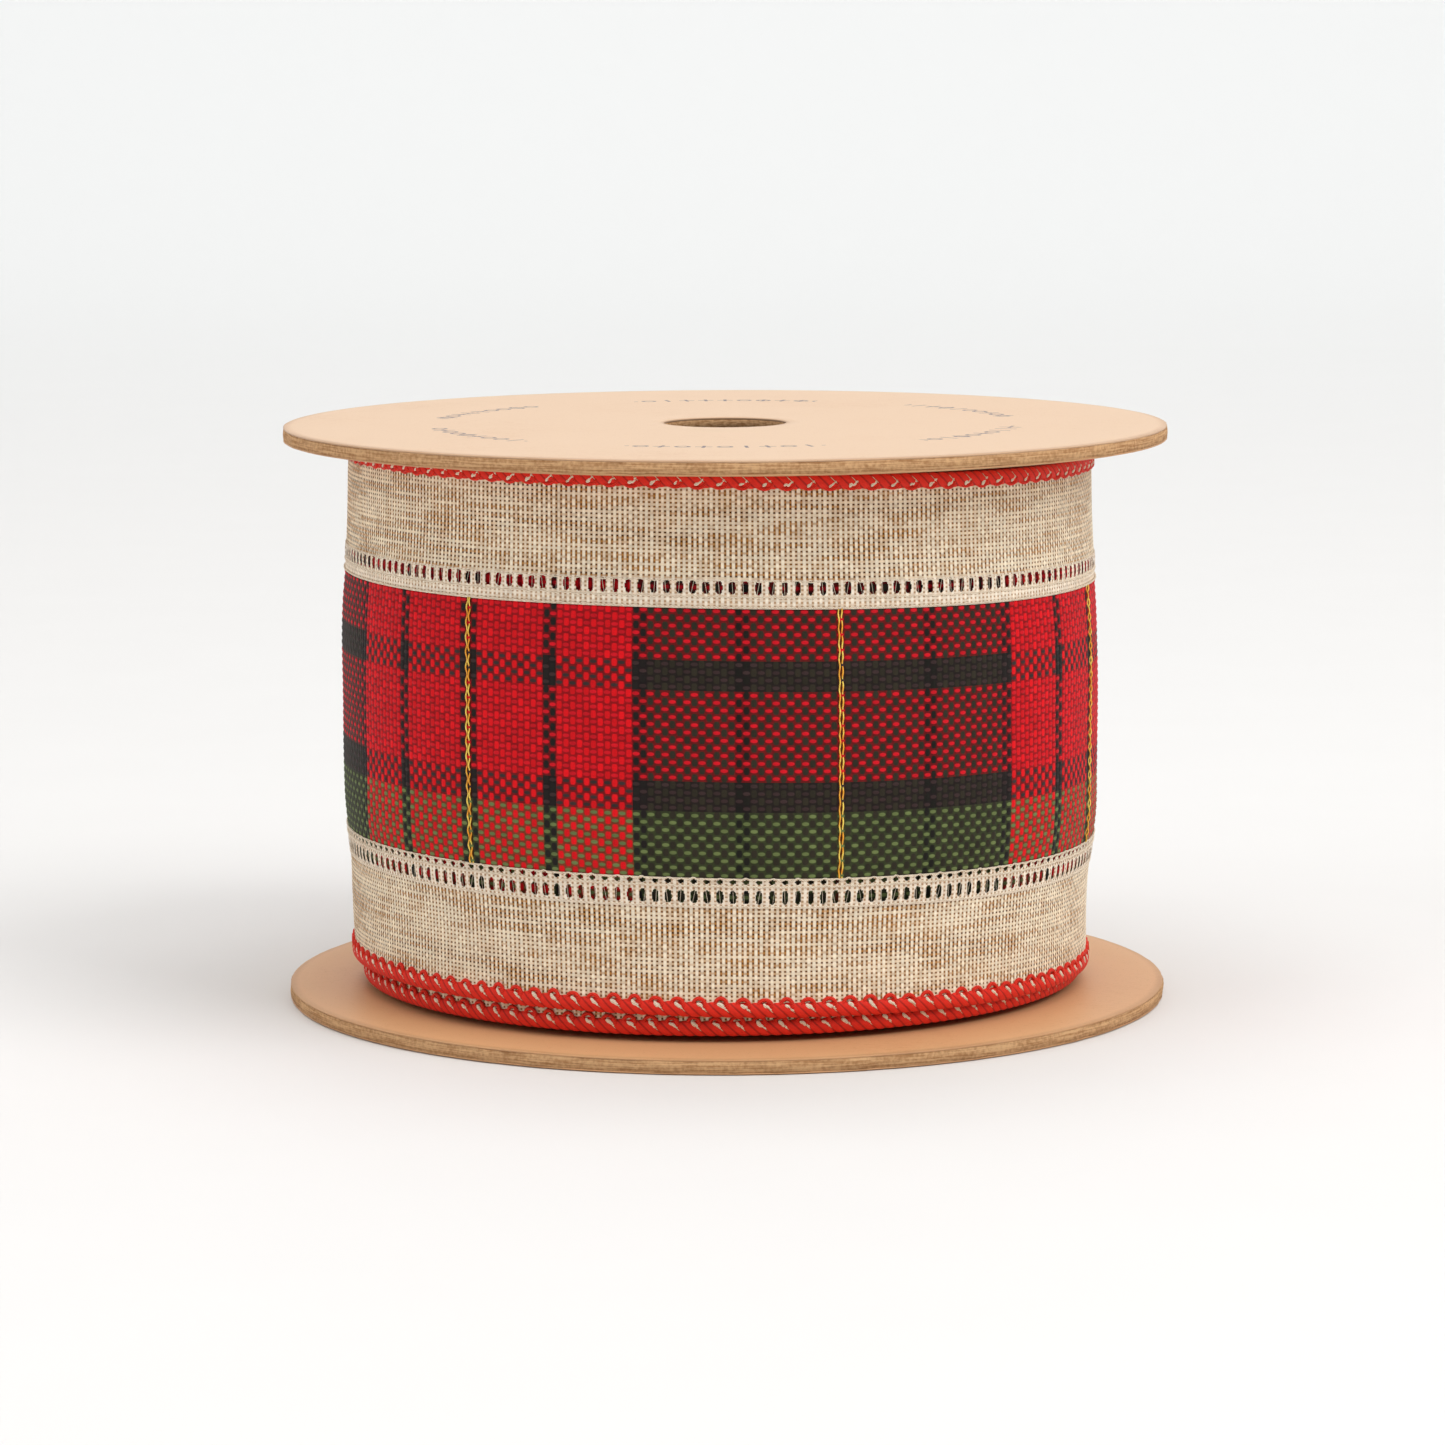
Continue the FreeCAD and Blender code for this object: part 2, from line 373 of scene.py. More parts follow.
class YarnDye(Enum):
    """The plaid's yarns: dyes, and LEVEL_BLACK, a lighter copy of the black with painted sheen."""

    RED = srgb(232, 14, 26)
    LEVEL_RED = srgb(204, 16, 32)
    BLACK = srgb(34, 29, 27)
    # Painted sheen: the black yarn made lighter and purpler in the level rows.
    LEVEL_BLACK = srgb(58, 42, 42)
    BLOCK = srgb(50, 45, 34)
    DARK = srgb(28, 26, 21)
    GREEN = srgb(104, 118, 70)
    UNDER_GOLD = srgb(92, 40, 22)


@dataclass(frozen=True)
class PlaidPattern:
    """The plaid's colours, in yarns: upright ones mirrored about each gold yarn, and level rows."""

    half_repeat: int = 54
    rows: int = 36
    uprights: tuple[tuple[float, YarnDye], ...] = (
        (0.0, YarnDye.UNDER_GOLD), (0.5, YarnDye.BLACK), (1.5, YarnDye.RED),
        (12.5, YarnDye.BLACK), (14.5, YarnDye.RED), (25.5, YarnDye.BLACK),
        (27.5, YarnDye.BLOCK), (39.5, YarnDye.DARK), (41.5, YarnDye.BLOCK),
        (53.5, YarnDye.UNDER_GOLD),
    )
    levels: tuple[tuple[float, YarnDye], ...] = (
        (0.0, YarnDye.GREEN), (9.0, YarnDye.LEVEL_BLACK), (13.0, YarnDye.LEVEL_RED),
        (25.0, YarnDye.LEVEL_BLACK), (29.0, YarnDye.LEVEL_RED),
    )
    yarn_shift: int = 18 * 2 * 54
    """Whole repeats added to a yarn's number, so that it is never below zero."""


@dataclass(frozen=True)
class PlaidFinish:
    """Glossy plain-woven plaid. Its UV map counts yarns across and rows up."""

    pattern: PlaidPattern = PlaidPattern()
    level_oval: tuple[float, float] = (0.54, 0.26)
    upright_oval: tuple[float, float] = (0.42, 0.7)
    """Half width and half height of a yarn where it is on top, as shares of its cell."""
    # Painted shade: the share of brightness left in the gaps between the yarns.
    gap_shade: float = 0.42
    roughness: float = 0.6

    def material(self) -> bpy.types.Material:
        """Builds the material.

        Returns:
            The material.
        """
        n = Nodes("plaid_cloth")
        across, up = n.uv("yarns")
        yarn, row = across.floor(), up.floor()
        over = (yarn + row) % 2.0
        half, rows = float(self.pattern.half_repeat), float(self.pattern.rows)
        mirrored = n.math("PINGPONG", yarn, half) / half
        upright = n.bands(mirrored, [(at / half, dye.value) for at, dye in self.pattern.uprights])
        level_stops = [(at / rows, dye.value) for at, dye in self.pattern.levels]
        level = n.bands((row + 0.5) / rows, level_stops)
        x, y = across.off_middle(), up.off_middle()
        shape = (self.oval(n, x, y, self.level_oval) * (1.0 - over)
                 + self.oval(n, x, y, self.upright_oval) * over)
        top = n.mix(over, level, n.mix(0.12, upright, (0.0, 0.0, 0.0)))
        # Painted shade: the gaps between the yarns take a darkened mix of both yarns' colours.
        gap = n.mix(1.0, n.mix(0.5, level, upright), (self.gap_shade,) * 3, "MULTIPLY")
        each = n.chance(n.vector(yarn, row, 0.0))
        streak = n.noise(n.vector(across * 1.6, up * 5.0, 0.0), 1.0, 2.0)
        colour = n.shaded(n.mix(shape, gap, top), 0.74 + (each * 0.3 + streak * 0.22))
        n.bump(streak * shape, 0.08, 0.6)
        return n.finish(colour, self.roughness, Specular_IOR_Level=0.14)

    @staticmethod
    def oval(n: Nodes, x: Value, y: Value, half_size: tuple[float, float]) -> Value:
        """A soft-edged oval in the middle of a weave cell.

        Args:
            n: The material's nodes.
            x: Distance across from the cell's middle.
            y: Distance up from the cell's middle.
            half_size: Half the oval's width and height.

        Returns:
            1 inside and 0 outside.
        """
        parts = [n.math("POWER", way / half, 2.0) for way, half in zip((x, y), half_size)]
        return (parts[0] + parts[1]).step(1.35, 0.45)


@dataclass(frozen=True)
class LinenFinish:
    """Slubby natural linen in an open plain weave. Its UV map is in yarns both ways."""

    name: str = "linen_cloth"
    upright: Colour = srgb(246, 233, 210)
    level: Colour = srgb(234, 213, 182)
    brown: Colour = srgb(182, 128, 66)
    # Painted shade: the dark colour of the holes between the yarns, where shade is seen through the
    # weave.
    hole: Colour = srgb(84, 48, 20)
    slubs: float = 1.0
    """Share of the brown slubs."""

    def material(self) -> bpy.types.Material:
        """Builds the material.

        Returns:
            The material.
        """
        n = Nodes(self.name)
        across, up = n.uv("yarns")
        yarn, row = across.floor(), up.floor()
        over = (yarn + row) % 2.0
        level_slub = n.noise(n.vector(across * 0.07, row * 3.7, 0.0), 1.0, 4.0)
        upright_slub = n.noise(n.vector(yarn * 2.9, up * 0.1, 9.0), 1.0, 4.0)
        cloud = n.noise(n.vector(across * 0.035, up * 0.16, 3.0), 1.0, 3.0)
        fibre = n.noise(n.vector(across * 3.0, up * 3.0, 4.0), 1.0, 3.0)
        each = n.chance(n.vector(yarn, row, 1.0))
        upright_cover = (across.off_middle() * (0.55 + upright_slub * 0.9)).step(0.36, 0.2)
        level_cover = (up.off_middle() * (0.55 + level_slub * 0.9)).step(0.36, 0.18)
        upright_shown = upright_cover * (1.0 - (1.0 - over) * (level_cover * 0.6))
        brownness = level_slub + (cloud - 0.5) * 0.4
        level = n.mix(brownness.step(0.43, 0.62) * self.slubs, self.level, self.brown)
        stained = upright_slub.step(0.5, 0.66) * (0.28 * self.slubs)
        upright = n.mix(stained, self.upright, self.brown)
        # Painted shade in the holes between the yarns, with some brown mixed in where the clouds
        # are.
        hole = n.mix(cloud.step(0.36, 0.66), n.mix(0.45, self.hole, self.brown), self.hole)
        cloth = n.mix(upright_shown, n.mix(level_cover, hole, level), upright)
        n.bump(upright_shown.or_more(level_cover * 0.8), 0.12, 0.6)
        colour = n.shaded(cloth, 0.76 + (fibre * 0.3 + each * 0.18))
        return n.finish(colour, 0.88, Specular_IOR_Level=0.12)


@dataclass(frozen=True)
class ThreadFinish:
    """Spun thread: a base colour with twisted strands and loose fibre."""

    name: str
    colour: Colour
    shadow: Colour
    roughness: float = 0.7
    twists: float = 9000.0

    def material(self) -> bpy.types.Material:
        """Builds the material.

        Returns:
            The material.
        """
        n = Nodes(self.name)
        x, y, z = n.parts(n.place())
        strand = abs(n.math("SINE", (x + y) * self.twists + z * (1.6 * self.twists)))
        depth = strand * 0.5 + n.noise(n.place(), 2600.0, 2.0) * 0.5
        n.bump(depth, 0.12, 0.7)
        colour = n.mix(depth.step(0.15, 0.6), self.shadow, self.colour)
        return n.finish(colour, self.roughness, Specular_IOR_Level=0.25, Sheen_Weight=0.04,
                        Sheen_Roughness=0.4)


@dataclass(frozen=True)
class EdgingFinish:
    """Red overlock thread in slanting wraps with cream slits. Its UV map counts wraps along."""

    red: Colour = srgb(226, 42, 24)
    # Painted shade: the darker red that fills the valleys between the wraps.
    deep: Colour = srgb(146, 20, 12)
    slit: Colour = srgb(232, 200, 168)

    def material(self) -> bpy.types.Material:
        """Builds the material.

        Returns:
            The material.
        """
        n = Nodes("red_edging")
        along, up = n.uv("wraps")
        valley = along.off_middle() * 2.0
        fibre = n.noise(n.vector(along * 9.0, up * 1.5, 0.0), 1.0, 3.0)
        # Painted shade in the valleys between the wraps.
        wrap = n.mix(valley.step(0.6, 1.0) * 0.75, self.red, self.deep)
        wrap = n.shaded(wrap, 0.72 + fibre * 0.5)
        every_other = (along + 0.5).floor() % 2.0
        slit = valley.step(0.86, 0.97) * abs(up - 0.2).step(0.6, 0.3) * every_other
        n.bump(fibre + valley * -0.8, 0.1, 0.7)
        return n.finish(n.mix(slit, wrap, self.slit), 0.62, Specular_IOR_Level=0.25,
                        Sheen_Weight=0.04, Sheen_Roughness=0.4)


@dataclass(frozen=True)
class GoldFinish:
    """Gold lamé yarn, wound on an orange core."""

    bright: Colour = srgb(255, 222, 96)
    deep: Colour = srgb(250, 170, 40)

    def material(self) -> bpy.types.Material:
        """Builds the material.

        Returns:
            The material.
        """
        n = Nodes("gold_yarn")
        fleck = n.noise(n.place(), 900.0, 1.0).step(0.42, 0.6)
        return n.finish(n.mix(fleck, self.deep, self.bright), 0.34, Metallic=0.15)


class Face(Enum):
    """Which surface of a flange a paper makes."""

    PRINTED = "printed"
    PLAIN = "plain"


@dataclass(frozen=True)
class KraftFinish:
    """Smooth kraft paper: fine fibre, faint clouds, scuffed cut edges, perhaps a printed ring."""

    face: Face
    paper: Colour = srgb(214, 165, 118)
    fibre: Colour = srgb(198, 142, 94)
    speck: Colour = srgb(150, 104, 66)
    scuff: Colour = srgb(168, 120, 78)
    ink: Colour = srgb(92, 82, 94)
    rim: float = 54.0
    ring_radius: float = 35.6
    marks_round: float = 90.0
    groups: float = 6.0
    mark: float = 1.0
    """Half height of a printed mark."""
    line: float = 0.2
    """Half width of a printed line."""

    def material(self) -> bpy.types.Material:
        """Builds the material.

        Returns:
            The material.
        """
        n = Nodes(f"kraft_paper_{self.face.value}")
        place = n.place()
        x, y, z = n.parts(place)
        cloud = n.noise(place, 55.0, 3.0)
        fine = n.noise(place, 2400.0, 3.0)
        long_fibre = n.noise(n.vector(x * 0.16, y, z), 3200.0, 2.0)
        tone = cloud * 0.35 + fine * 0.3 + long_fibre * 0.35
        paper = n.mix(tone.step(0.5, 0.78), self.paper, self.fibre)
        paper = n.mix(n.noise(place, 5200.0, 1.0).step(0.69, 0.75) * 0.5, paper, self.speck)
        radius = n.distance(x, y) * (1 / MM)
        worn = radius.step(self.rim - 1.2, self.rim).or_more(
            radius.step(HOLE_RADIUS + 0.7, HOLE_RADIUS))
        paper = n.mix(worn * cloud * 0.9, paper, self.scuff)
        if self.face is Face.PRINTED:
            paper = n.mix(self.marks(n, x, y, radius) * 0.9, paper, self.ink)
        n.bump(fine + long_fibre, 0.02, 0.4)
        return n.finish(paper, 0.5, Specular_IOR_Level=0.5)

    def marks(self, n: Nodes, x: Value, y: Value, radius: Value) -> Value:
        """A printed ring: groups of small rings, bars and dots, with a lone dot between groups.

        Args:
            n: The material's nodes.
            x: Place across the face.
            y: Place up the face.
            radius: Distance from the face's middle, in millimetres.

        Returns:
            1 where there is ink, and else 0.
        """
        turn = n.math("ARCTAN2", y, x) / TURN
        counted = turn * self.marks_round
        aside = (counted.fraction() - 0.5) * (TURN * self.ring_radius / self.marks_round)
        out = radius - self.ring_radius
        far = n.distance(aside, out)
        kind = n.chance(n.vector(counted.floor(), 5.0, 0.0))
        circle = abs(far - 0.78 * self.mark).below(self.line)
        bar = abs(aside).below(self.line) * abs(out).below(1.35 * self.mark)
        cross = abs(out).below(self.line) * abs(aside).below(self.mark)
        chosen = (circle * kind.below(0.55)).or_more(bar * kind.above(0.4))
        chosen = chosen.or_more(cross * kind.above(0.75))
        from_group = (turn * self.groups).off_middle()
        dot = from_group.above(0.49) * far.below(0.5)
        return (chosen * from_group.below(0.32)).or_more(dot)


@dataclass(frozen=True)
class BoardFinish:
    """Raw cut grey board: layered fibre drawn out round the rim."""

    light: Colour = srgb(208, 166, 122)
    dark: Colour = srgb(162, 118, 78)

    def material(self) -> bpy.types.Material:
        """Builds the material.

        Returns:
            The material.
        """
        n = Nodes("grey_board")
        x, y, z = n.parts(n.place())
        round_rim = n.math("ARCTAN2", y, x) * 9.0
        layers = n.noise(n.vector(round_rim, z * 5200.0, 0.0), 1.0, 4.0)
        tone = layers * 0.6 + n.noise(n.place(), 2200.0, 4.0) * 0.4
        n.bump(tone, 0.12, 0.6)
        colour = n.mix(tone.step(0.36, 0.62), self.dark, self.light)
        return n.finish(colour, 0.9, Specular_IOR_Level=0.15)


@dataclass(frozen=True)
class CoreFinish:
    """Spiral-wound paper tube, with the butt line of its outer ply."""

    colour: Colour = srgb(186, 142, 98)
    fibre: Colour = srgb(152, 110, 72)
    line: Colour = srgb(120, 84, 54)
    lead: float = 46.0

    def material(self) -> bpy.types.Material:
        """Builds the material.

        Returns:
            The material.
        """
        n = Nodes("core_board")
        x, y, z = n.parts(n.place())
        ply = (n.math("ARCTAN2", y, x) / TURN + z * (1 / (self.lead * MM))).fraction()
        fibre = n.noise(n.place(), 1500.0, 4.0)
        n.bump(fibre, 0.1, 0.6)
        paper = n.mix(fibre.step(0.4, 0.7), self.colour, self.fibre)
        colour = n.mix(ply.step(0.985, 0.995), paper, self.line)
        return n.finish(colour, 0.85, Specular_IOR_Level=0.2)


@dataclass(frozen=True)
class GlossFinish:
    """Clear or tinted plastic with faint streaks: set glue or adhesive tape."""

    name: str
    colour: Colour
    roughness: float
    streaks: float
    clearness: float
    streak_colour: Colour = srgb(210, 196, 160)

    def material(self) -> bpy.types.Material:
        """Builds the material.

        Returns:
            The material.
        """
        n = Nodes(self.name)
        streak = n.noise(n.place(), self.streaks, 3.0)
        n.bump(streak, 0.05, 0.4)
        return n.finish(n.mix(streak * 0.2, self.colour, self.streak_colour),
                        self.roughness + streak * 0.12, IOR=1.47, Alpha=1.0 - self.clearness)


@dataclass(frozen=True)
class WireFinish:
    """Fine drawn steel wire."""

    colour: Colour = srgb(168, 166, 162)
    dull: Colour = srgb(120, 116, 110)

    def material(self) -> bpy.types.Material:
        """Builds the material.

        Returns:
            The material.
        """
        n = Nodes("edge_wire")
        drawn = n.noise(n.place(), 1800.0, 3.0)
        return n.finish(n.mix(drawn, self.colour, self.dull), 0.32, Metallic=1.0)


class Finishes:
    """Every finish of the spool, each made once."""

    def __init__(self) -> None:
        """Builds the materials."""
        self.plaid = PlaidFinish().material()
        self.linen = LinenFinish().material()
        # The seam's hole colour is painted shade seen through the open weave, lighter than the
        # linen's.
        self.seam = LinenFinish(
            "openwork_cloth", upright=srgb(246, 234, 216), level=srgb(238, 220, 198),
            brown=srgb(206, 172, 134), hole=srgb(176, 140, 106), slubs=0.5,
        ).material()
        self.thread = ThreadFinish(
            "cream_thread", colour=srgb(240, 226, 204), shadow=srgb(192, 164, 132),
        ).material()
        self.edging = EdgingFinish().material()
        self.loop = ThreadFinish(
            "red_thread", colour=srgb(230, 46, 26), shadow=srgb(140, 18, 11), roughness=0.6,
        ).material()
        self.gold = GoldFinish().material()
        # Painted light: the printed top face gets a paler, less saturated paper than the plain
        # faces, for the light from above; the print on it is real.
        self.printed = KraftFinish(
            Face.PRINTED, paper=srgb(216, 184, 153), fibre=srgb(204, 164, 128),
        ).material()
        self.kraft = KraftFinish(Face.PLAIN).material()
        self.board = BoardFinish().material()
        self.core = CoreFinish().material()
        self.glue = GlossFinish(
            "hot_glue", srgb(226, 212, 170), roughness=0.25, streaks=300.0, clearness=0.15,
        ).material()
        self.tape = GlossFinish(
            "clear_tape", srgb(240, 238, 226), roughness=0.12, streaks=160.0, clearness=0.72,
        ).material()
        self.wire = WireFinish().material()


# --------------------------------------------------------------------------------- meshes


@dataclass
class Surface:
    """Points and four-cornered faces, with UV maps given for each face's corners."""

    points: np.ndarray
    quads: np.ndarray
    maps: dict[str, np.ndarray]

    @staticmethod
    def grid(points: np.ndarray, kept: np.ndarray | None = None,
             closed: bool = False) -> "Surface":
        """A surface from a grid of points.

        Args:
            points: Columns by rows by three.
            kept: Which of its faces are kept, as columns by rows.
            closed: Whether the last row joins the first.

        Returns:
            The surface.
        """
        columns, rows = points.shape[:2]
        number = np.arange(columns * rows).reshape(columns, rows)
        up = np.roll(number, -1, axis=1)
        span = rows if closed else rows - 1
        corners = [number[:-1, :span], number[1:, :span], up[1:, :span], up[:-1, :span]]
        quads = np.stack(corners, -1)
        quads = quads.reshape(-1, 4) if kept is None else quads[kept]
        return Surface(points.reshape(-1, 3), quads, {})

    @staticmethod
    def several(surfaces: Sequence["Surface"]) -> "Surface":
        """Puts surfaces without UV maps together as one.

        Args:
            surfaces: The surfaces.

        Returns:
            The one surface.
        """
        starts = np.cumsum([0] + [len(s.points) for s in surfaces[:-1]])
        quads = np.concatenate([s.quads + start for s, start in zip(surfaces, starts)])
        return Surface(np.concatenate([s.points for s in surfaces]), quads, {})

    def add_map(self, name: str, across: np.ndarray, up: np.ndarray) -> None:
        """Adds a UV map from values that fit the grid of points.

        Args:
            name: The map's name.
            across: Its first value at each point.
            up: Its second value at each point.
        """
        values = np.stack(np.broadcast_arrays(across, up), -1)
        self.maps[name] = values.reshape(-1, 2)[self.quads].reshape(-1, 2)

    def add_bake_map(self, columns: int, rows: int, folds: int,
                     kept: np.ndarray | None = None) -> None:
        """Lays a long grid out in a square, folded into rows.

        Args:
            columns: The grid's faces along it.
            rows: The grid's faces across it.
            folds: How many rows it is folded into.
            kept: Which faces are kept, as columns by rows.
        """
        across, up = np.meshgrid(np.arange(columns), np.arange(rows), indexing="ij")
        each = math.ceil(columns / folds)
        fold = across // each
        left = (across - fold * each) / each
        corners = []
        for right, top in ((0, 0), (1, 0), (1, 1), (0, 1)):
            u = 0.004 + 0.992 * (left + right / each)
            v = (fold + 0.03 + 0.94 * (up + top) / rows) / folds
            corners.append(np.stack([u, v], -1))
        laid = np.stack(corners, 2)
        laid = laid.reshape(-1, 4, 2) if kept is None else laid[kept]
        self.maps["OFBake"] = laid.reshape(-1, 2)

    def piece(self, name: str, material: bpy.types.Material) -> bpy.types.Object:
        """Makes the Blender object.

        Args:
            name: Its name.
            material: Its material.

        Returns:
            The object, in metres, smooth shaded.
        """
        mesh = bpy.data.meshes.new(name)
        mesh.vertices.add(len(self.points))
        mesh.vertices.foreach_set("co", (self.points * MM).astype(np.float32).ravel())
        mesh.loops.add(self.quads.size)
        mesh.loops.foreach_set("vertex_index", self.quads.astype(np.int32).ravel())
        mesh.polygons.add(len(self.quads))
        starts = np.arange(0, self.quads.size, 4, dtype=np.int32)
        mesh.polygons.foreach_set("loop_start", starts)
        for map_name, values in self.maps.items():
            layer = mesh.uv_layers.new(name=map_name)
            layer.data.foreach_set("uv", values.astype(np.float32).ravel())
        mesh.update(calc_edges=True)
        mesh.shade_smooth()
        mesh.materials.append(material)
        made = bpy.data.objects.new(name, mesh)
        bpy.context.scene.collection.objects.link(made)
        return made


def tube(path: np.ndarray, radius: float, sides: int, aside: np.ndarray) -> Surface:
    """A round tube along a path, closed at both ends.

    Args:
        path: Points along its middle.
        radius: Its radius.
        sides: Points round it.
        aside: A direction that the path never takes, one for all or one for each point.

    Returns:
        The surface.
    """
    ahead = np.gradient(path, axis=0)
    ahead /= np.linalg.norm(ahead, axis=1, keepdims=True)
    out = np.cross(ahead, aside)
    out /= np.linalg.norm(out, axis=1, keepdims=True)
    over = np.cross(out, ahead)
    angle = np.linspace(0, TURN, sides, endpoint=False)[None, :, None]
    ring = np.cos(angle) * out[:, None] + np.sin(angle) * over[:, None]
    size = np.full(len(path) + 2, radius)
    size[[0, -1]] = radius * 0.02
    middle = np.concatenate([path[:1], path, path[-1:]])
    ring = np.concatenate([ring[:1], ring, ring[-1:]])
    return Surface.grid(middle[:, None] + ring * size[:, None, None], closed=True)


def beads(centres: np.ndarray, axes: np.ndarray, half_sizes: np.ndarray) -> Surface:
    """Small ovals.

    Args:
        centres: One point each.
        axes: Three directions each, as rows.
        half_sizes: Half the size along each direction.

    Returns:
        The surface.
    """
    rise = np.linspace(-0.5 * math.pi + 0.02, 0.5 * math.pi - 0.02, 7)[:, None]
    angle = np.linspace(0, TURN, 10, endpoint=False)
    ball = [np.sin(rise) * np.ones_like(angle), np.cos(rise) * np.cos(angle),
            np.cos(rise) * np.sin(angle)]
    unit = Surface.grid(np.stack(ball, -1), closed=True)
    points = centres[:, None] + np.einsum("pk,nkc->npc", unit.points * half_sizes, axes)
    starts = np.arange(len(centres))[:, None, None] * len(unit.points)
    return Surface(points.reshape(-1, 3), (unit.quads[None] + starts).reshape(-1, 4), {})


# --------------------------------------------------------------------------------- ribbon


@dataclass(frozen=True)
class Winding:
    """The spiral that the ribbon lies on, made of half turns as in the design.

    A place on it is in turns from the ribbon's start, at the back. Whole turns are at the back
    and half turns at the front, and it runs anticlockwise seen from above.
    """

    pitch: float = 1.05
    first_radius: float = 23.575
    front: float = 20.5
    drift: float = -0.9
    """How far the roll has drifted to the left by the front of its outer turn."""

    def place(self, turns: np.ndarray, offset: np.ndarray, height: np.ndarray) -> np.ndarray:
        """Points by the spiral.

        Args:
            turns: Place along it.
            offset: Distance outward from it.
            height: Height.

        Returns:
            The points, with x, y and z last.
        """
        turns, offset, height = np.broadcast_arrays(turns, offset, height)
        half = np.floor(2 * turns)
        centre = np.where(half % 2 == 0, -self.pitch / 4, self.pitch / 4)
        radius = self.first_radius + self.pitch / 4 + half * self.pitch / 2 + offset
        angle = TURN * turns + math.pi / 2
        aside = self.drift * (turns / self.front) ** 2
        across, back = aside + radius * np.cos(angle), centre + radius * np.sin(angle)
        return np.stack([across, back, height], -1)

    def length(self, turns: np.ndarray | float) -> np.ndarray | float:
        """Length of ribbon from its start to a place."""
        return TURN * (self.first_radius * turns + self.pitch * turns * turns / 2)

    def turns(self, length: np.ndarray | float) -> np.ndarray | float:
        """The place that a length of ribbon reaches."""
        reach = self.first_radius**2 + self.pitch * length / math.pi
        return (np.sqrt(reach) - self.first_radius) / self.pitch

    def directions(self, turns: np.ndarray | float) -> np.ndarray:
        """The ribbon's own directions.

        Args:
            turns: Places along it.

        Returns:
            Along, up and outward at each place, as rows.
        """
        angle = TURN * np.asarray(turns) + math.pi / 2
        zero, one = np.zeros_like(angle), np.ones_like(angle)
        along = np.stack([-np.sin(angle), np.cos(angle), zero], -1)
        outward = np.stack([np.cos(angle), np.sin(angle), zero], -1)
        return np.stack([along, np.stack([zero, zero, one], -1), outward], -2)


@dataclass(frozen=True)
class RibbonWidths:
    """Heights of the ribbon's strips above its lower edge, and sizes across its width."""

    edging: float = 2.2
    lower_seam: float = 13.0
    lower_slots: float = 14.2
    """Middle of the lower seam's slots."""
    dots: float = 16.02
    """The row of small holes by the plaid."""
    plaid: float = 16.3
    upper_seam: float = 47.9
    upper_slots: float = 50.2
    upper_border: float = 51.0
    upper_edging: float = 61.3
    top: float = 63.3
    wire: float = 0.36
    slot_height: float = 1.9
    tuck: float = 3.0
    """How far the plaid runs on behind each seam."""
    border_tuck: float = 1.2
    """How far a border runs on inside its edging."""


@dataclass(frozen=True)
class Weave:
    """Yarn spacings along the ribbon and across its width."""

    plaid_yarn: float = 0.829
    gold_before_front: float = 37.2
    linen_yarn: float = 0.62
    linen_row: float = 0.49
    slot: float = 1.48
    stitch: float = 2.53


@dataclass(frozen=True)
class Stitch:
    """The overlock stitch of one edge."""

    rim: float
    inward: float
    """1 where the cloth is above the edge, and -1 where it is below."""
    eye: float
    """From the edge to the cream eyes."""
    tall: float
    wide: float
    thick: float
    """Half sizes of a red loop and of its thread."""


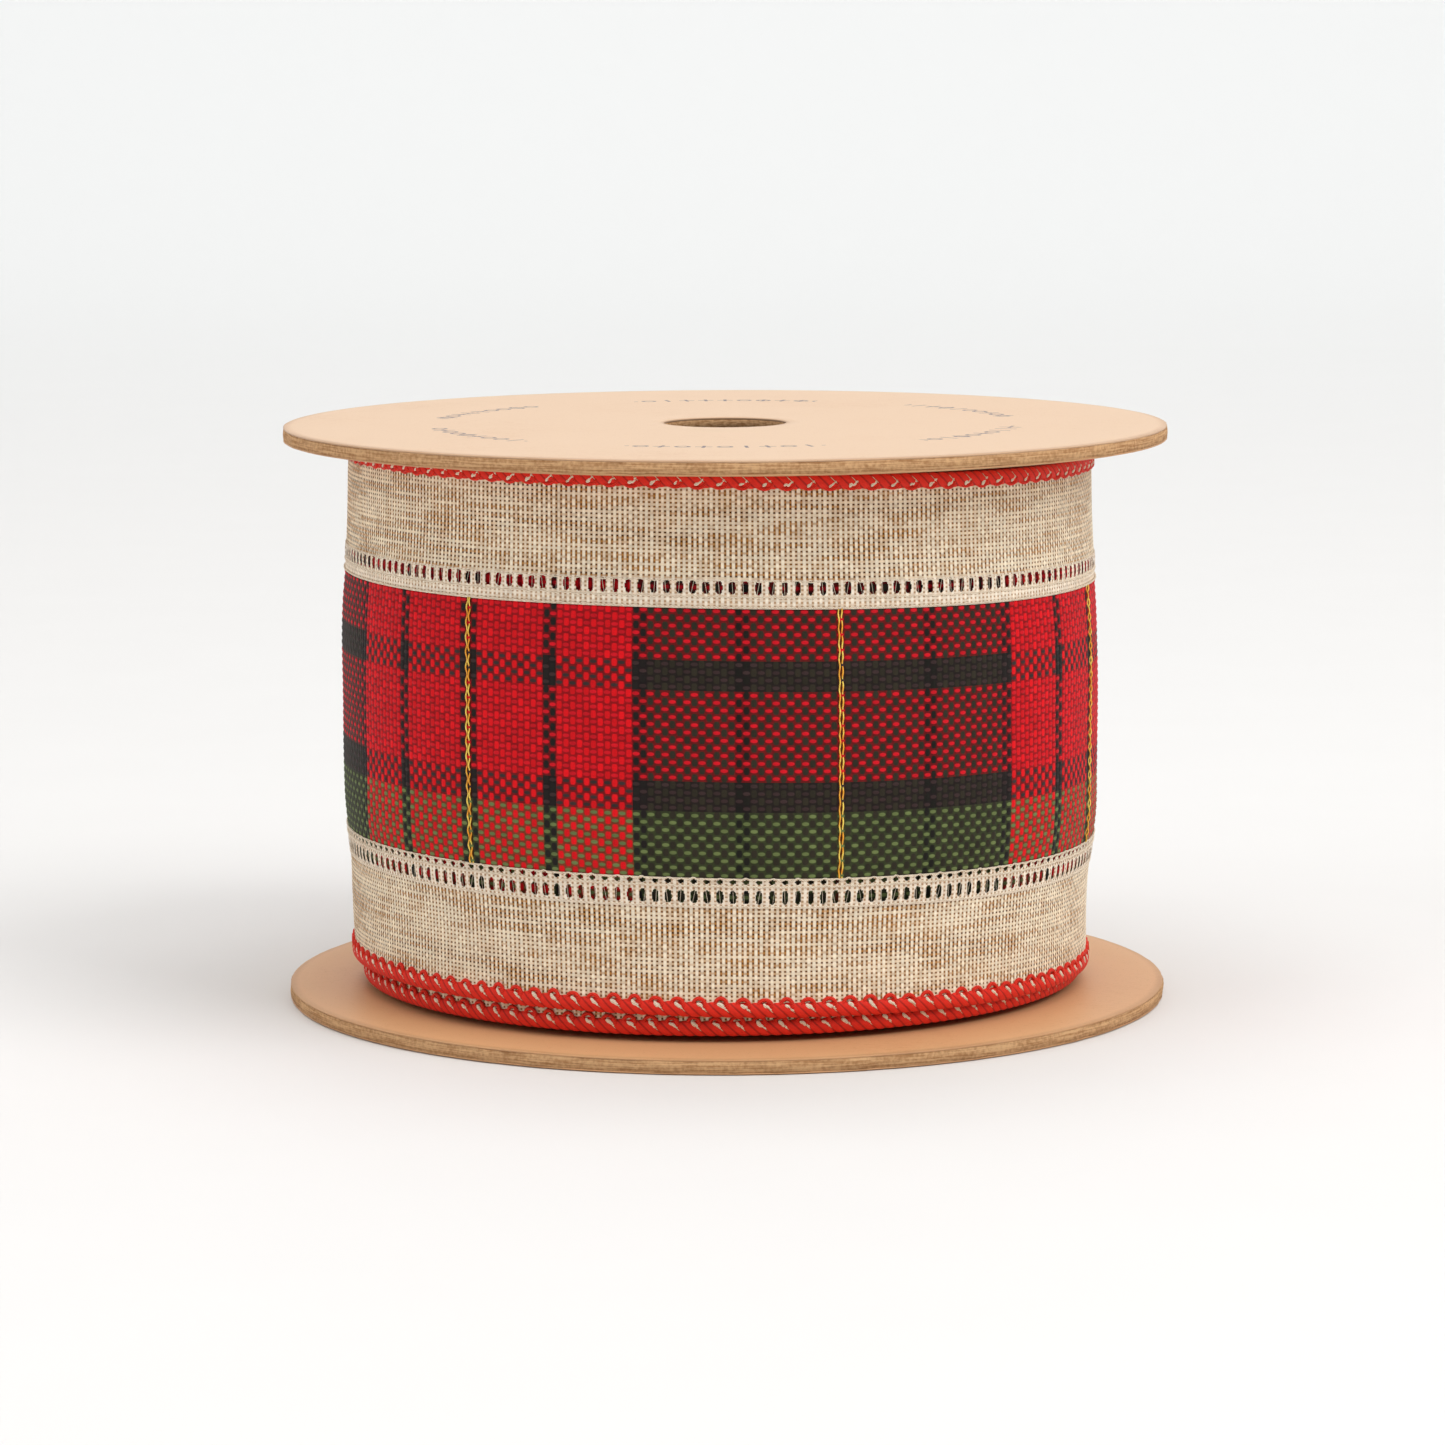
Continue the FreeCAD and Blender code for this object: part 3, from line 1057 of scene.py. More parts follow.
@dataclass
class RibbonStretch:
    """A stretch of the ribbon that moves as one body: cloth, seams, edgings, wires, gold yarns."""

    name: str
    body: str
    wound_over: str
    """The piece that it lies on."""
    first: float
    last: float
    fine_from: float
    """The place from which it is built with every yarn; before that it is plain."""
    base: Callable[[np.ndarray], np.ndarray]
    bulge: Knots
    finishes: Finishes
    winding: Winding = Winding()
    widths: RibbonWidths = RibbonWidths()
    weave: Weave = Weave()
    ripple: float = 0.07
    swell: float = 0.4
    swell_at: float = 20.25
    """The left side bellies out a little more, low down."""
    plain_steps: int = 40
    wrapped: float = 0.8
    upper_wrapped: float = 0.88
    """Shares of the edgings that the wraps take; the loops that bite the linen take the rest."""

    @property
    def fine(self) -> bool:
        """Whether the whole stretch is built with every yarn."""
        return self.fine_from <= self.first

    @property
    def length(self) -> float:
        """The length of ribbon in the stretch."""
        return float(self.winding.length(self.last) - self.winding.length(self.first))

    def surface(self, turns: np.ndarray, up: np.ndarray,
                proud: np.ndarray | float = 0.0) -> np.ndarray:
        """Points on the ribbon's outer face.

        Args:
            turns: Place along it.
            up: Height above its lower edge.
            proud: Distance out from the face.

        Returns:
            The points.
        """
        turns, up = np.broadcast_arrays(turns, up)
        wave = (np.sin(31.0 * turns + 0.21 * up) * np.sin(0.16 * up + 1.0)
                + 0.6 * np.sin(57.0 * turns - 0.12 * up + 2.0))
        from_swell = ((turns - self.swell_at) / 0.1) ** 2 + ((up - 8.0) / 8.0) ** 2
        swell = self.swell * np.exp(-from_swell)
        offset = smooth_curve(up, self.bulge) + self.ripple * wave + swell + proud
        return self.winding.place(turns, offset, self.base(turns) + up)

    def steps(self, spacing: float) -> np.ndarray:
        """Places along the stretch, with its plain part coarser.

        Args:
            spacing: Their distance in the fine part.

        Returns:
            The places.
        """
        fine_start = max(self.first, self.fine_from)
        start, end = self.winding.length(fine_start), self.winding.length(self.last)
        along = np.linspace(start, end, max(2, round((end - start) / spacing) + 1))
        fine = self.winding.turns(along)
        if fine_start == self.first:
            return fine
        count = round((fine_start - self.first) * self.plain_steps) + 1
        return np.concatenate([np.linspace(self.first, fine_start, count)[:-1], fine])

    def settle(self, made: bpy.types.Object, slot_name: str, *nodes: str) -> None:
        """Rides a piece on its body and hides the nodes it stands for.

        Args:
            made: The piece.
            slot_name: Not used.
            nodes: Endings of the nodes' names.
        """
        self.attach(made)
        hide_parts(*[f"{self.name}_{ending}" for ending in nodes])
        log.info("%s: %d faces", made.name, len(made.data.polygons))

    def attach(self, made: bpy.types.Object) -> None:
        """Makes a piece ride on the stretch's body."""
        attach(made, self.body)

    def lay_flat(self, width: float, length: float) -> None:
        """Takes the size of a cloth piece laid flat, and does nothing with it."""
        width * MM

    def yarns(self, turns: np.ndarray) -> np.ndarray:
        """The number of the plaid's upright yarn at a place, counted from a gold yarn."""
        along = self.winding.length(turns) - self.winding.length(self.winding.front)
        return (along / self.weave.plaid_yarn + self.weave.gold_before_front
                + PlaidPattern().yarn_shift)

    @staticmethod
    def woven(across: np.ndarray, up: np.ndarray, level_rise: float,
              upright_rise: float) -> np.ndarray:
        """How far a plain weave's yarns stand out.

        Args:
            across: Yarns along, where each yarn fills a whole number and the next.
            up: Rows up, in the same way.
            level_rise: Rise of a level yarn where it is on top.
            upright_rise: Rise of an upright yarn where it is on top.

        Returns:
            The rise at each place.
        """
        over = (np.floor(across) + np.floor(up)) % 2
        x = np.cos(math.pi * (across - np.floor(across) - 0.5)).clip(0)
        y = np.cos(math.pi * (up - np.floor(up) - 0.5)).clip(0)
        return np.where(over == 0, level_rise * x**0.4 * y**1.4, upright_rise * x**1.4 * y**0.4)

    def plaid_part(self, name: str, first: float, last: float) -> None:
        """One length of the plaid, woven over and under, with its edges tucked behind the seams.

        Args:
            name: The piece's name.
            first: Where it starts.
            last: Where it ends.
        """
        pattern, low, high = PlaidPattern(), self.widths.plaid, self.widths.upper_seam
        if self.fine:
            start, end = np.floor(self.yarns(np.array([first, last])) * 4) / 4 + 0.125
            counted = np.arange(start, end + 0.01, 0.25)
            from_front = counted - pattern.yarn_shift - self.weave.gold_before_front
            along = from_front * self.weave.plaid_yarn + self.winding.length(self.winding.front)
            turns = np.clip(self.winding.turns(along), first, last)
            rows = (np.arange(3 * pattern.rows) + 0.5) / 3
        else:
            turns = np.linspace(first, last, round((last - first) * self.plain_steps) + 1)
            rows = np.linspace(0.2, pattern.rows - 0.2, 5)
        row_height = (high - low) / pattern.rows
        hem = np.array([self.widths.tuck, 2.0, 1.0, 0.1]) / row_height
        rows = np.concatenate([-hem, rows, pattern.rows + hem[::-1]])[None, :]
        tucked = (rows < 0) | (rows > pattern.rows)
        counted = self.yarns(turns)[:, None] + 0.5
        proud = self.woven(counted, rows, 0.15, 0.1) if self.fine else np.zeros((len(turns), 1))
        points = self.surface(turns[:, None], low + rows * row_height,
                              np.where(tucked, -0.42, proud))
        made = Surface.grid(points)
        made.add_map("yarns", counted, rows)
        turn_length, band_height = 286, 36
        folds = max(1, round(math.sqrt((last - first) * turn_length / band_height)))
        made.add_bake_map(len(turns) - 1, rows.size - 1, folds)
        piece = made.piece(name, self.finishes.plaid)
        self.settle(piece, "plaid_cloth", "plaid_band")
        length = float(self.winding.length(last) - self.winding.length(first))
        self.lay_flat(high - low + 2 * self.widths.tuck, length)

    def plaid(self) -> None:
        """The plaid band, in one length, or in three for the outer turn."""
        self.plaid_part(f"{self.name}_plaid", self.first, self.last)

    def border(self, side: str, low: float, high: float) -> None:
        """A linen border.

        Args:
            side: lower or upper.
            low: Its lower edge.
            high: Its upper edge.
        """
        row = self.weave.linen_row
        turns = self.steps(self.weave.linen_yarn / 2 if self.fine else 3.0)
        up = np.arange(low, high + 0.01, row / 2) if self.fine else np.linspace(low, high, 5)
        yarns = (self.winding.length(turns) / self.weave.linen_yarn)[:, None]
        rows = (up / row)[None, :]
        proud = self.woven(yarns, rows, 0.05, 0.07) if self.fine else 0.0
        made = Surface.grid(self.surface(turns[:, None], up[None, :], proud))
        made.add_map("yarns", yarns, rows)
        folds = max(1, round(math.sqrt(self.length / (high - low))))
        made.add_bake_map(len(turns) - 1, len(up) - 1, folds)
        piece = made.piece(f"{self.name}_{side}_border", self.finishes.linen)
        self.settle(piece, "linen_cloth", f"{side}_border")
        self.lay_flat(high - low, self.length)

    def seam(self, side: str, low: float, high: float, slots: float, dots: float | None) -> None:
        """An openwork seam: slots between bars of drawn thread, and perhaps a row of small holes.

        Args:
            side: lower or upper.
            low: Its lower edge.
            high: Its upper edge.
            slots: Height of the middle of its slots.
            dots: Height of the row of small holes, if it has one.
        """
        slot = self.weave.slot
        turns = self.steps(slot / 14 if self.fine else 3.0)
        up = np.linspace(low - 0.15, high + 0.15, 31 if self.fine else 3)
        along = self.winding.length(turns) / slot
        x = along - np.floor(along) - 0.5
        bars = 0.12 * np.abs(np.sin(math.pi * x))[:, None] if self.fine else 0.0
        proud = 0.1 + bars * np.exp(-(((up - slots) / 0.9) ** 2))[None, :]
        kept = None
        if self.fine:
            x = np.abs((along[:-1] + along[1:]) / 2 % 1 - 0.5)[:, None] * slot
            y = ((up[:-1] + up[1:]) / 2)[None, :]
            jitter = 0.04 * np.sin(np.floor(along[:-1, None]) * 12.9898)
            wide, tall = 0.38 + jitter, 0.8 - jitter
            kept = (x / wide) ** 2.6 + np.abs((y - slots) / tall) ** 2.6 > 1
            if dots is not None:
                kept &= (x / 0.35) ** 2 + ((y - dots) / 0.26) ** 2 > 1
        made = Surface.grid(self.surface(turns[:, None], up[None, :], proud), kept)
        yarns = (along * slot / self.weave.linen_yarn)[:, None]
        made.add_map("yarns", yarns, (up / self.weave.linen_row)[None, :])
        folds = max(1, round(math.sqrt(self.length / 3.4)))
        made.add_bake_map(len(turns) - 1, len(up) - 1, folds, kept)
        piece = made.piece(f"{self.name}_{side}_seam", self.finishes.seam)
        self.settle(piece, "openwork_thread", f"{side}_seam")

    def seam_threads(self) -> None:
        """The cream threads that bind the seams, and the wisps across their slots."""
        w = self.widths
        turns = self.steps(0.25)
        along = self.winding.length(turns)
        scallop = 0.1 * np.cos(TURN * along / self.weave.slot)
        wander = 0.06 * np.sin(along * 2.1) + 0.05 * np.sin(along * 5.3)
        lines = (
            (w.plaid - 0.8 + wander, 0.12, 0.18), (w.plaid + 0.02 + (wander - scallop), 0.09, 0.2),
            (w.lower_seam + 0.05 + wander, 0.09, 0.1),
            (w.upper_seam + 0.05 + 0.6 * scallop, 0.1, 0.2),
            (w.upper_seam + 1.2 + wander, 0.1, 0.14), (w.upper_border - 0.05 + wander, 0.09, 0.1),
        )
        tubes = [tube(self.surface(turns, height, proud), radius, 6, UP)
                 for height, radius, proud in lines]
        tubes += self.wisps(w.lower_slots) + self.wisps(w.upper_slots)
        made = Surface.several(tubes)
        self.settle(made.piece(f"{self.name}_seam_threads", self.finishes.thread),
                    "openwork_thread")

    def wisps(self, middle: float) -> list[Surface]:
        """Fine drawn threads left standing across the slots.

        Args:
            middle: Height of the middle of the slots.

        Returns:
            The threads.
        """
        rng = np.random.default_rng(11)
        slot, half = self.weave.slot, self.widths.slot_height / 2
        first, last = (self.winding.length(end) / slot for end in (self.first, self.last))
        rise = np.linspace(-half, half, 5)
        made = []
        for number in range(math.ceil(first), math.floor(last)):
            sway = rng.uniform(-0.25, 0.25) + rng.uniform(-0.25, 0.25) * rise
            turns = self.winding.turns((number + 0.5) * slot + sway)
            path = self.surface(turns, middle + rise, rng.uniform(-0.1, 0.02))
            made.append(tube(path, 0.035, 4, self.winding.directions(turns)[:, 2]))
        return made

    def edging(self, side: str, low: float, high: float) -> None:
        """An overlocked edging: thread wrapped at a slant round the cloth's edge and its wire.

        Args:
            side: lower or upper.
            low: Its lower edge.
            high: Its upper edge.
        """
        lower = side == "lower"
        turns = self.steps(self.weave.stitch / 12)
        wraps = 2 * self.winding.length(turns) / self.weave.stitch
        angle = np.linspace(0, TURN, 16, endpoint=False)[None, :]
        reach = (high - low) * (self.wrapped if lower else self.upper_wrapped)
        half = reach / 2
        centre = (low if lower else high - reach) + half
        phase = wraps[:, None] + 0.7 * np.cos(angle)
        ridge = np.abs(np.sin(math.pi * phase)) ** 0.7
        up = centre + half * (0.9 + 0.14 * ridge) * np.cos(angle)
        middle = np.full_like(up, centre + (0.2 if lower else -0.2))
        out = 0.02 + (0.24 + 0.2 * ridge) * np.sin(angle)
        outward = self.winding.directions(turns)[:, None, 2]
        points = self.surface(turns[:, None], middle) + outward * out[..., None]
        points[..., 2] = self.base(turns)[:, None] + up
        made = Surface.grid(points, closed=True)
        made.add_map("wraps", phase, np.cos(angle))
        folds = max(1, round(math.sqrt(self.length / 5.5)))
        made.add_bake_map(len(turns) - 1, angle.size, folds)
        piece = made.piece(f"{self.name}_{side}_edging", self.finishes.edging)
        self.settle(piece, "red_edging", f"{side}_edging")

    def stitches(self) -> None:
        """The cream eyes in the stitches and the red loops round them, which bite the linen."""
        pitch = self.weave.stitch
        start = self.winding.length(max(self.first, self.fine_from)) / pitch
        end = self.winding.length(self.last) / pitch
        places = (np.arange(math.ceil(start + 0.3), end - 0.3) + 0.25) * pitch
        rng = np.random.default_rng(3)
        eyes, loops = [], []
        for stitch in (Stitch(0.0, 1.0, 1.42, 0.8, 0.76, 0.24),
                       Stitch(self.widths.top, -1.0, 1.26, 0.5, 0.86, 0.22)):
            eyes += self.eyes(stitch, places, rng)
            loops += self.loops(stitch, places, rng)
        for word, made, finish in (("eyes", eyes, self.finishes.thread),
                                   ("loops", loops, self.finishes.loop)):
            piece = Surface.several(made).piece(f"{self.name}_edging_{word}", finish)
            self.settle(piece, "red_edging")

    def eyes(self, stitch: Stitch, places: np.ndarray, rng: np.random.Generator) -> list[Surface]:
        """The eyes of one edge's stitches, on both faces of the ribbon.

        Args:
            stitch: The stitch.
            places: Length of ribbon up to each stitch.
            rng: Where chance comes from.

        Returns:
            Three shrinking rows of eyes for each face.
        """
        count = len(places)
        axes = self.winding.directions(self.winding.turns(places))
        made = []
        for proud in (0.34, -0.27):
            for size, shift, rise in ((1.0, 0.0, 0.0), (0.85, 0.24, -0.14), (0.6, 0.56, -0.4)):
                along = places + shift + rng.uniform(-0.1, 0.1, count)
                lean = (rng.uniform(0.35, 1.15, count) * stitch.inward)[:, None]
                up = stitch.eye + rise + rng.uniform(-0.08, 0.08, count)
                cosine, sine = np.cos(lean), np.sin(lean)
                tilted = axes.copy()
                tilted[:, 0] = axes[:, 0] * cosine - axes[:, 1] * sine
                tilted[:, 1] = axes[:, 0] * sine + axes[:, 1] * cosine
                growth = size * stitch.tall**0.4 * rng.uniform(0.8, 1.25, count)
                tilted[:, :2] *= growth[:, None, None]
                centres = self.surface(self.winding.turns(along),
                                       stitch.rim + stitch.inward * up, proud)
                made.append(beads(centres, tilted, np.array([0.42, 0.24, 0.12])))
        return made

    def loops(self, stitch: Stitch, places: np.ndarray,
              rng: np.random.Generator) -> list[Surface]:
        """The loops of thread round one edge's eyes.

        Args:
            stitch: The stitch.
            places: Length of ribbon up to each stitch.
            rng: Where chance comes from.

        Returns:
            The loops.
        """
        sweep = np.linspace(-0.35, math.pi + 0.25, 12)
        made = []
        for middle in places:
            wide = stitch.wide * rng.uniform(0.9, 1.08)
            tall = stitch.tall * rng.uniform(0.88, 1.14)
            turns = self.winding.turns(middle + wide * np.cos(sweep))
            up = stitch.rim + stitch.inward * (stitch.eye + tall * np.sin(sweep) - 0.05)
            path = self.surface(turns, up, 0.18 + 0.08 * np.cos(sweep))
            outward = self.winding.directions(self.winding.turns(middle))[2]
            made.append(tube(path, stitch.thick, 6, outward))
        return made

    def wires(self) -> None:
        """The wire inside each edging."""
        w = self.widths
        turns = self.steps(4.0)
        tubes = [tube(self.surface(turns, height), w.wire / 2, 8, UP)
                 for height in (w.edging / 2, (w.upper_edging + w.top) / 2)]
        piece = Surface.several(tubes).piece(f"{self.name}_wires", self.finishes.wire)
        self.settle(piece, "edge_wire", "lower_wire", "upper_wire")

    def gold(self) -> None:
        """The gold yarns: two strands side by side, over one row and under the next."""
        pattern = PlaidPattern()
        start, end = self.yarns(np.array([self.first, self.last])) / pattern.half_repeat
        height = self.widths.upper_seam - self.widths.plaid
        up = np.linspace(0.1, height - 0.1, round(height * 10))
        phase = TURN * up / (2 * height / pattern.rows)
        strands = []
        for number in range(math.ceil(start + 0.02), math.floor(end - 0.02) + 1):
            yarn = number * pattern.half_repeat - pattern.yarn_shift
            from_front = (yarn - self.weave.gold_before_front) * self.weave.plaid_yarn
            middle = self.winding.length(self.winding.front) + from_front
            outward = self.winding.directions(self.winding.turns(middle))[2]
            for lag, aside in ((0.0, -0.18), (math.pi, 0.18)):
                turns = self.winding.turns(middle + aside + 0.03 * np.cos(phase))
                path = self.surface(turns, self.widths.plaid + up,
                                    0.12 + 0.12 * np.sin(phase + lag))
                strands.append(tube(path, 0.095, 6, outward))
        if strands:
            piece = Surface.several(strands).piece(f"{self.name}_gold_yarns", self.finishes.gold)
            self.settle(piece, "plaid_cloth")

    def build(self) -> None:
        """Builds and dresses the whole stretch."""
        w = self.widths
        self.plaid()
        self.border("lower", w.edging - w.border_tuck, w.lower_seam)
        self.border("upper", w.upper_border, w.upper_edging + w.border_tuck)
        self.seam("lower", w.lower_seam, w.plaid, w.lower_slots, w.dots)
        self.seam("upper", w.upper_seam, w.upper_border, w.upper_slots, None)
        self.edging("lower", 0.0, w.edging)
        self.edging("upper", w.upper_edging, w.top)
        self.stitches()
        self.wires()
        if self.fine:
            self.seam_threads()
            self.gold()


@dataclass
class OuterTurn(RibbonStretch):
    """The ribbon's last whole turn, whose plaid is in three lengths."""

    def plaid(self) -> None:
        """The front half of the plaid, and a quarter on each side of the ribbon's end."""
        quarter = (self.last - self.first) / 4
        front_end = (self.first + self.last) / 2 + quarter
        self.plaid_part("outer_plaid_front", self.first + quarter, front_end)
        self.plaid_part("outer_plaid_back", front_end, self.last)
        self.plaid_part("outer_plaid_start", self.first, self.first + quarter)


@dataclass
class FreeEnd(RibbonStretch):
    """The ribbon's free end, with its tape."""

    bend: float = 9.0
    # Length of ribbon from the end's start to a short root.
    """Length of ribbon that bends."""
    tape_width: float = 19.0
    tape_length: float = 22.0
    tape_overlap: float = 12.0
    tape_thickness: float = 0.06
    drop: float = 1.0
    """How far the tape steps down past the ribbon's end."""

    def attach(self, made: bpy.types.Object) -> None:
        """Bakes a piece's place into its mesh and leaves it off the free end's body; the short
        root's ends are worked out but not used.
        """
        root = self.winding.turns(self.winding.length(self.first) + self.bend)
        start, end = (tuple(self.surface(np.array([turn]), np.array([31.0]))[0] * MM)
                      for turn in (self.first, root))
        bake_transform(made)

    def tape(self) -> None:
        """The clear tape over the ribbon's end, which steps down on to the turn below."""
        along = np.linspace(-self.tape_overlap, self.tape_length - self.tape_overlap, 90)
        turns = self.winding.turns(self.winding.length(self.last) + along)
        middle = self.widths.plaid + (self.widths.upper_seam - self.widths.plaid) / 2
        up = middle + np.linspace(-self.tape_width / 2, self.tape_width / 2, 24)
        proud = 0.26 - self.drop / (1 + np.exp(-(along - 0.4) * 4.0))
        turns = np.broadcast_to(turns[:, None], (len(along), len(up))).copy()
        torn = 0.25 * np.abs(np.sin(up * 3.0))
        turns[-1] += torn / (TURN * 46)
        made = Surface.grid(self.surface(turns, up[None, :], proud[:, None]))
        made.add_bake_map(len(along) - 1, len(up) - 1, 1)
        piece = made.piece("end_tape_film", self.finishes.tape)
        film = piece.modifiers.new("film", "SOLIDIFY")
        film.thickness, film.offset = self.tape_thickness * MM, 1.0
        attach(piece, self.body)
        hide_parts("end_tape")
        log.info("end_tape_film: %d faces", len(piece.data.polygons))

    def frayed_end(self) -> None:
        """Loose yarns at the cut end."""
        rng = np.random.default_rng(7)
        low, high = self.widths.edging + 0.6, self.widths.upper_edging - 0.5
        strands = []
        for height in np.arange(low, high, 0.83):
            along = np.linspace(-0.6, rng.uniform(0.3, 1.5), 8)
            turns = self.winding.turns(self.winding.length(self.last) + along)
            sway = rng.uniform(-0.3, 0.3) * (along.clip(0) / 1.5) ** 2
            path = self.surface(turns, height + sway, 0.08 + 0.05 * along.clip(0))
            strands.append(tube(path, 0.13, 5, UP))
        piece = Surface.several(strands).piece("tail_frayed_end", self.finishes.thread)
        self.settle(piece, "linen_cloth")

    def build(self) -> None:
        """Builds the free end and what is on it."""
        super().build()
        self.tape()
        self.frayed_end()


class Ribbon:
    """The whole ribbon. Its outer turn leans and bellies out; the turns inside are level."""

    LEAN: Knots = (
        (19.9, 3.2), (20.0, 3.6), (20.1, 4.9), (20.25, 5.35), (20.38, 5.34), (20.48, 5.2),
        (20.564, 4.62), (20.64, 4.08), (20.72, 3.86), (20.85, 3.9), (21.0, 4.2), (21.12, 4.5),
    )
    """Height of the outer turn's lower edge, by place."""
    DESIGNED: float = 4.6
    """The height in LEAN that stands for the designed one."""
    BELLY: Knots = (
        (0.0, 0.02), (4.6, 0.05), (7.7, 0.1), (11.5, 0.3), (15.3, 0.72), (19.0, 1.15),
        (24.0, 1.3), (34.0, 1.34), (40.0, 1.28), (44.0, 1.14), (47.5, 0.88), (51.2, 0.72),
        (56.2, 0.5), (60.0, 0.44), (63.3, 0.34),
    )
    """How far the outer turn stands out from the spiral, by height above its lower edge."""
    FLAT: Knots = ((0.0, 0.0), (30.0, 0.08), (63.3, 0.0))
    """The same for the inner turns."""
    TAIL_TURN: float = 38 / 360
    """The free end's share of a turn."""

    def __init__(self, finishes: Finishes) -> None:
        """Takes the heights from the design.

        Args:
            finishes: The spool's finishes.
        """
        self.finishes = finishes
        self.inner_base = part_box("inner_lower_edging")[0].z / MM
        self.nominal_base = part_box("outer_lower_edging")[0].z / MM

    def leaning(self, turns: np.ndarray) -> np.ndarray:
        """Height of the outer turn's lower edge."""
        lean = smooth_curve(np.asarray(turns, float), self.LEAN)
        return self.nominal_base - self.DESIGNED + lean

    def level(self, turns: np.ndarray) -> np.ndarray:
        """Height of the inner turns' lower edge."""
        return np.full_like(np.asarray(turns, float), self.inner_base)

    def build(self) -> None:
        """Builds the three stretches."""
        leaning = (self.leaning, self.BELLY, self.finishes)
        for stretch in (
            RibbonStretch("inner", "spool", "core_tube", 0.0, 19.999, 19.0, self.level, self.FLAT,
                          self.finishes, ripple=0.0),
            OuterTurn("outer", "outer_turn", "inner_plaid", 20.0015, 20.999, 20.0, *leaning),
            FreeEnd("tail", "free_end", "outer_plaid_start", 20.999, 21 + self.TAIL_TURN, 20.9,
                    *leaning),
        ):
            stretch.build()


# ---------------------------------------------------------------------------------- spool


class Side(Enum):
    """The two flanges."""

    BOTTOM = -1
    TOP = 1


@dataclass
class Flange:
    """A flange of grey board between two papers, die cut, with a worn and slightly furry rim."""

    side: Side
    finishes: Finishes
    steps: int = 720
    roll: float = 0.22
    """How far a paper's corner is rolled over."""
    warp: float = 0.0108
    lip: float = 3.0
    """Width of the outermost ring, which carries the shape of the rim."""

    def layer(self, ending: str, rough: float, rolled: float, material: bpy.types.Material,
              slot_name: str, flip: bool) -> None:
        """One layer of the flange.

        Args:
            ending: The last words of the node that it stands for.
            rough: How uneven its cut rim is.
            rolled: How far its outer corner is rolled over.
            material: Its material.
            slot_name: Not used.
            flip: Whether the rolled corner is the lower one.
        """
        word = self.side.name.lower()
        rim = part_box(f"{word}_flange_board")[1].x / MM
        low, high = (corner.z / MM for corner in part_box(f"{word}_flange_{ending}"))
        corner = min(rolled, (high - low) * 0.8)
        radius, rise = np.array((
            (rim - self.lip, low), (rim - 0.02, low), (rim + 0.04, (low + high) / 2),
            (rim - 0.5 * corner, high - 0.3 * corner), (rim - 2 * corner, high),
            (rim - self.lip, high), (HOLE_RADIUS + 2.0, high),
            (HOLE_RADIUS + 0.25 * corner, high), (HOLE_RADIUS, high - 0.3 * corner),
            (HOLE_RADIUS, low), (HOLE_RADIUS + 2.0, low),
        )).T
        if flip:
            radius, rise = radius[::-1], low + high - rise[::-1]
        angle = np.linspace(0, TURN, self.steps + 1)[:, None]
        uneven = rough * self.unevenness() * np.clip((radius - (rim - 0.6)) / 0.6, 0, 1)
        across = radius + uneven
        lift = self.warp * (across / rim) ** 2 * np.sin(2 * angle + 0.6)
        points = np.stack([across * np.cos(angle), across * np.sin(angle), rise + lift], -1)
        made = Surface.grid(points, closed=True)
        piece = made.piece(f"{word}_flange_cut_{ending}", material)
        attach(piece, "spool")
        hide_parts(f"{word}_flange_{ending}")
        log.info("%s: %d faces", piece.name, len(piece.data.polygons))

    def unevenness(self) -> np.ndarray:
        """How uneven the cut is round the rim.

        Returns:
            A share at each step round, as a column.
        """
        rng = np.random.default_rng(11 if self.side is Side.TOP else 12)
        noise = rng.normal(0, 1, (self.steps, 3))
        smooth = sum(np.roll(noise, shift, 0) for shift in (0, 1, 2, -1)) / 2
        smooth = np.concatenate([smooth, smooth[:1]])
        return smooth[:, :1] + 0.4 * smooth[:, 1:2]

    def build(self) -> None:
        """Builds the three layers."""
        top = self.side is Side.TOP
        face = self.finishes.printed if top else self.finishes.kraft
        self.layer("board", 0.05, 0.02, self.finishes.board, "grey_board", False)
        self.layer("outer_paper", 0.02, self.roll, face, "kraft_paper", not top)
        self.layer("inner_paper", 0.02, self.roll, self.finishes.kraft, "kraft_paper", top)


@dataclass
class Core:
    """The core tube, its glue and the start tape, whose designed shapes are kept."""

    finishes: Finishes

    def build(self) -> None:
        """Dresses the designed nodes."""
        dressing = {
            "core_tube": self.finishes.core, "bottom_glue_ring": self.finishes.glue,
            "top_glue_ring": self.finishes.glue, "start_tape": self.finishes.tape,
        }
        for node, material in dressing.items():
            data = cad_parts[node].data
            data.materials.clear()
            data.materials.append(material)
            log.info("%s: dressed", node)


# --------------------------------------------------------------------------------- studio


@dataclass(frozen=True)
class SoftLight:
    """A square area light, in metres and watts."""

    name: str
    place: tuple[float, float, float]
    size: float
    power: float

    def build(self) -> None:
        """Hangs the light and turns it to the spool's middle."""
        data = bpy.data.lights.new(self.name, "AREA")
        data.size, data.energy = self.size, self.power
        made = bpy.data.objects.new(self.name, data)
        away = Vector(self.place) - Vector((0, 0, 0.035))
        turned = away.to_track_quat("Z", "Y").to_matrix().to_4x4()
        made.matrix_world = Matrix.Translation(self.place) @ turned
        bpy.context.scene.collection.objects.link(made)


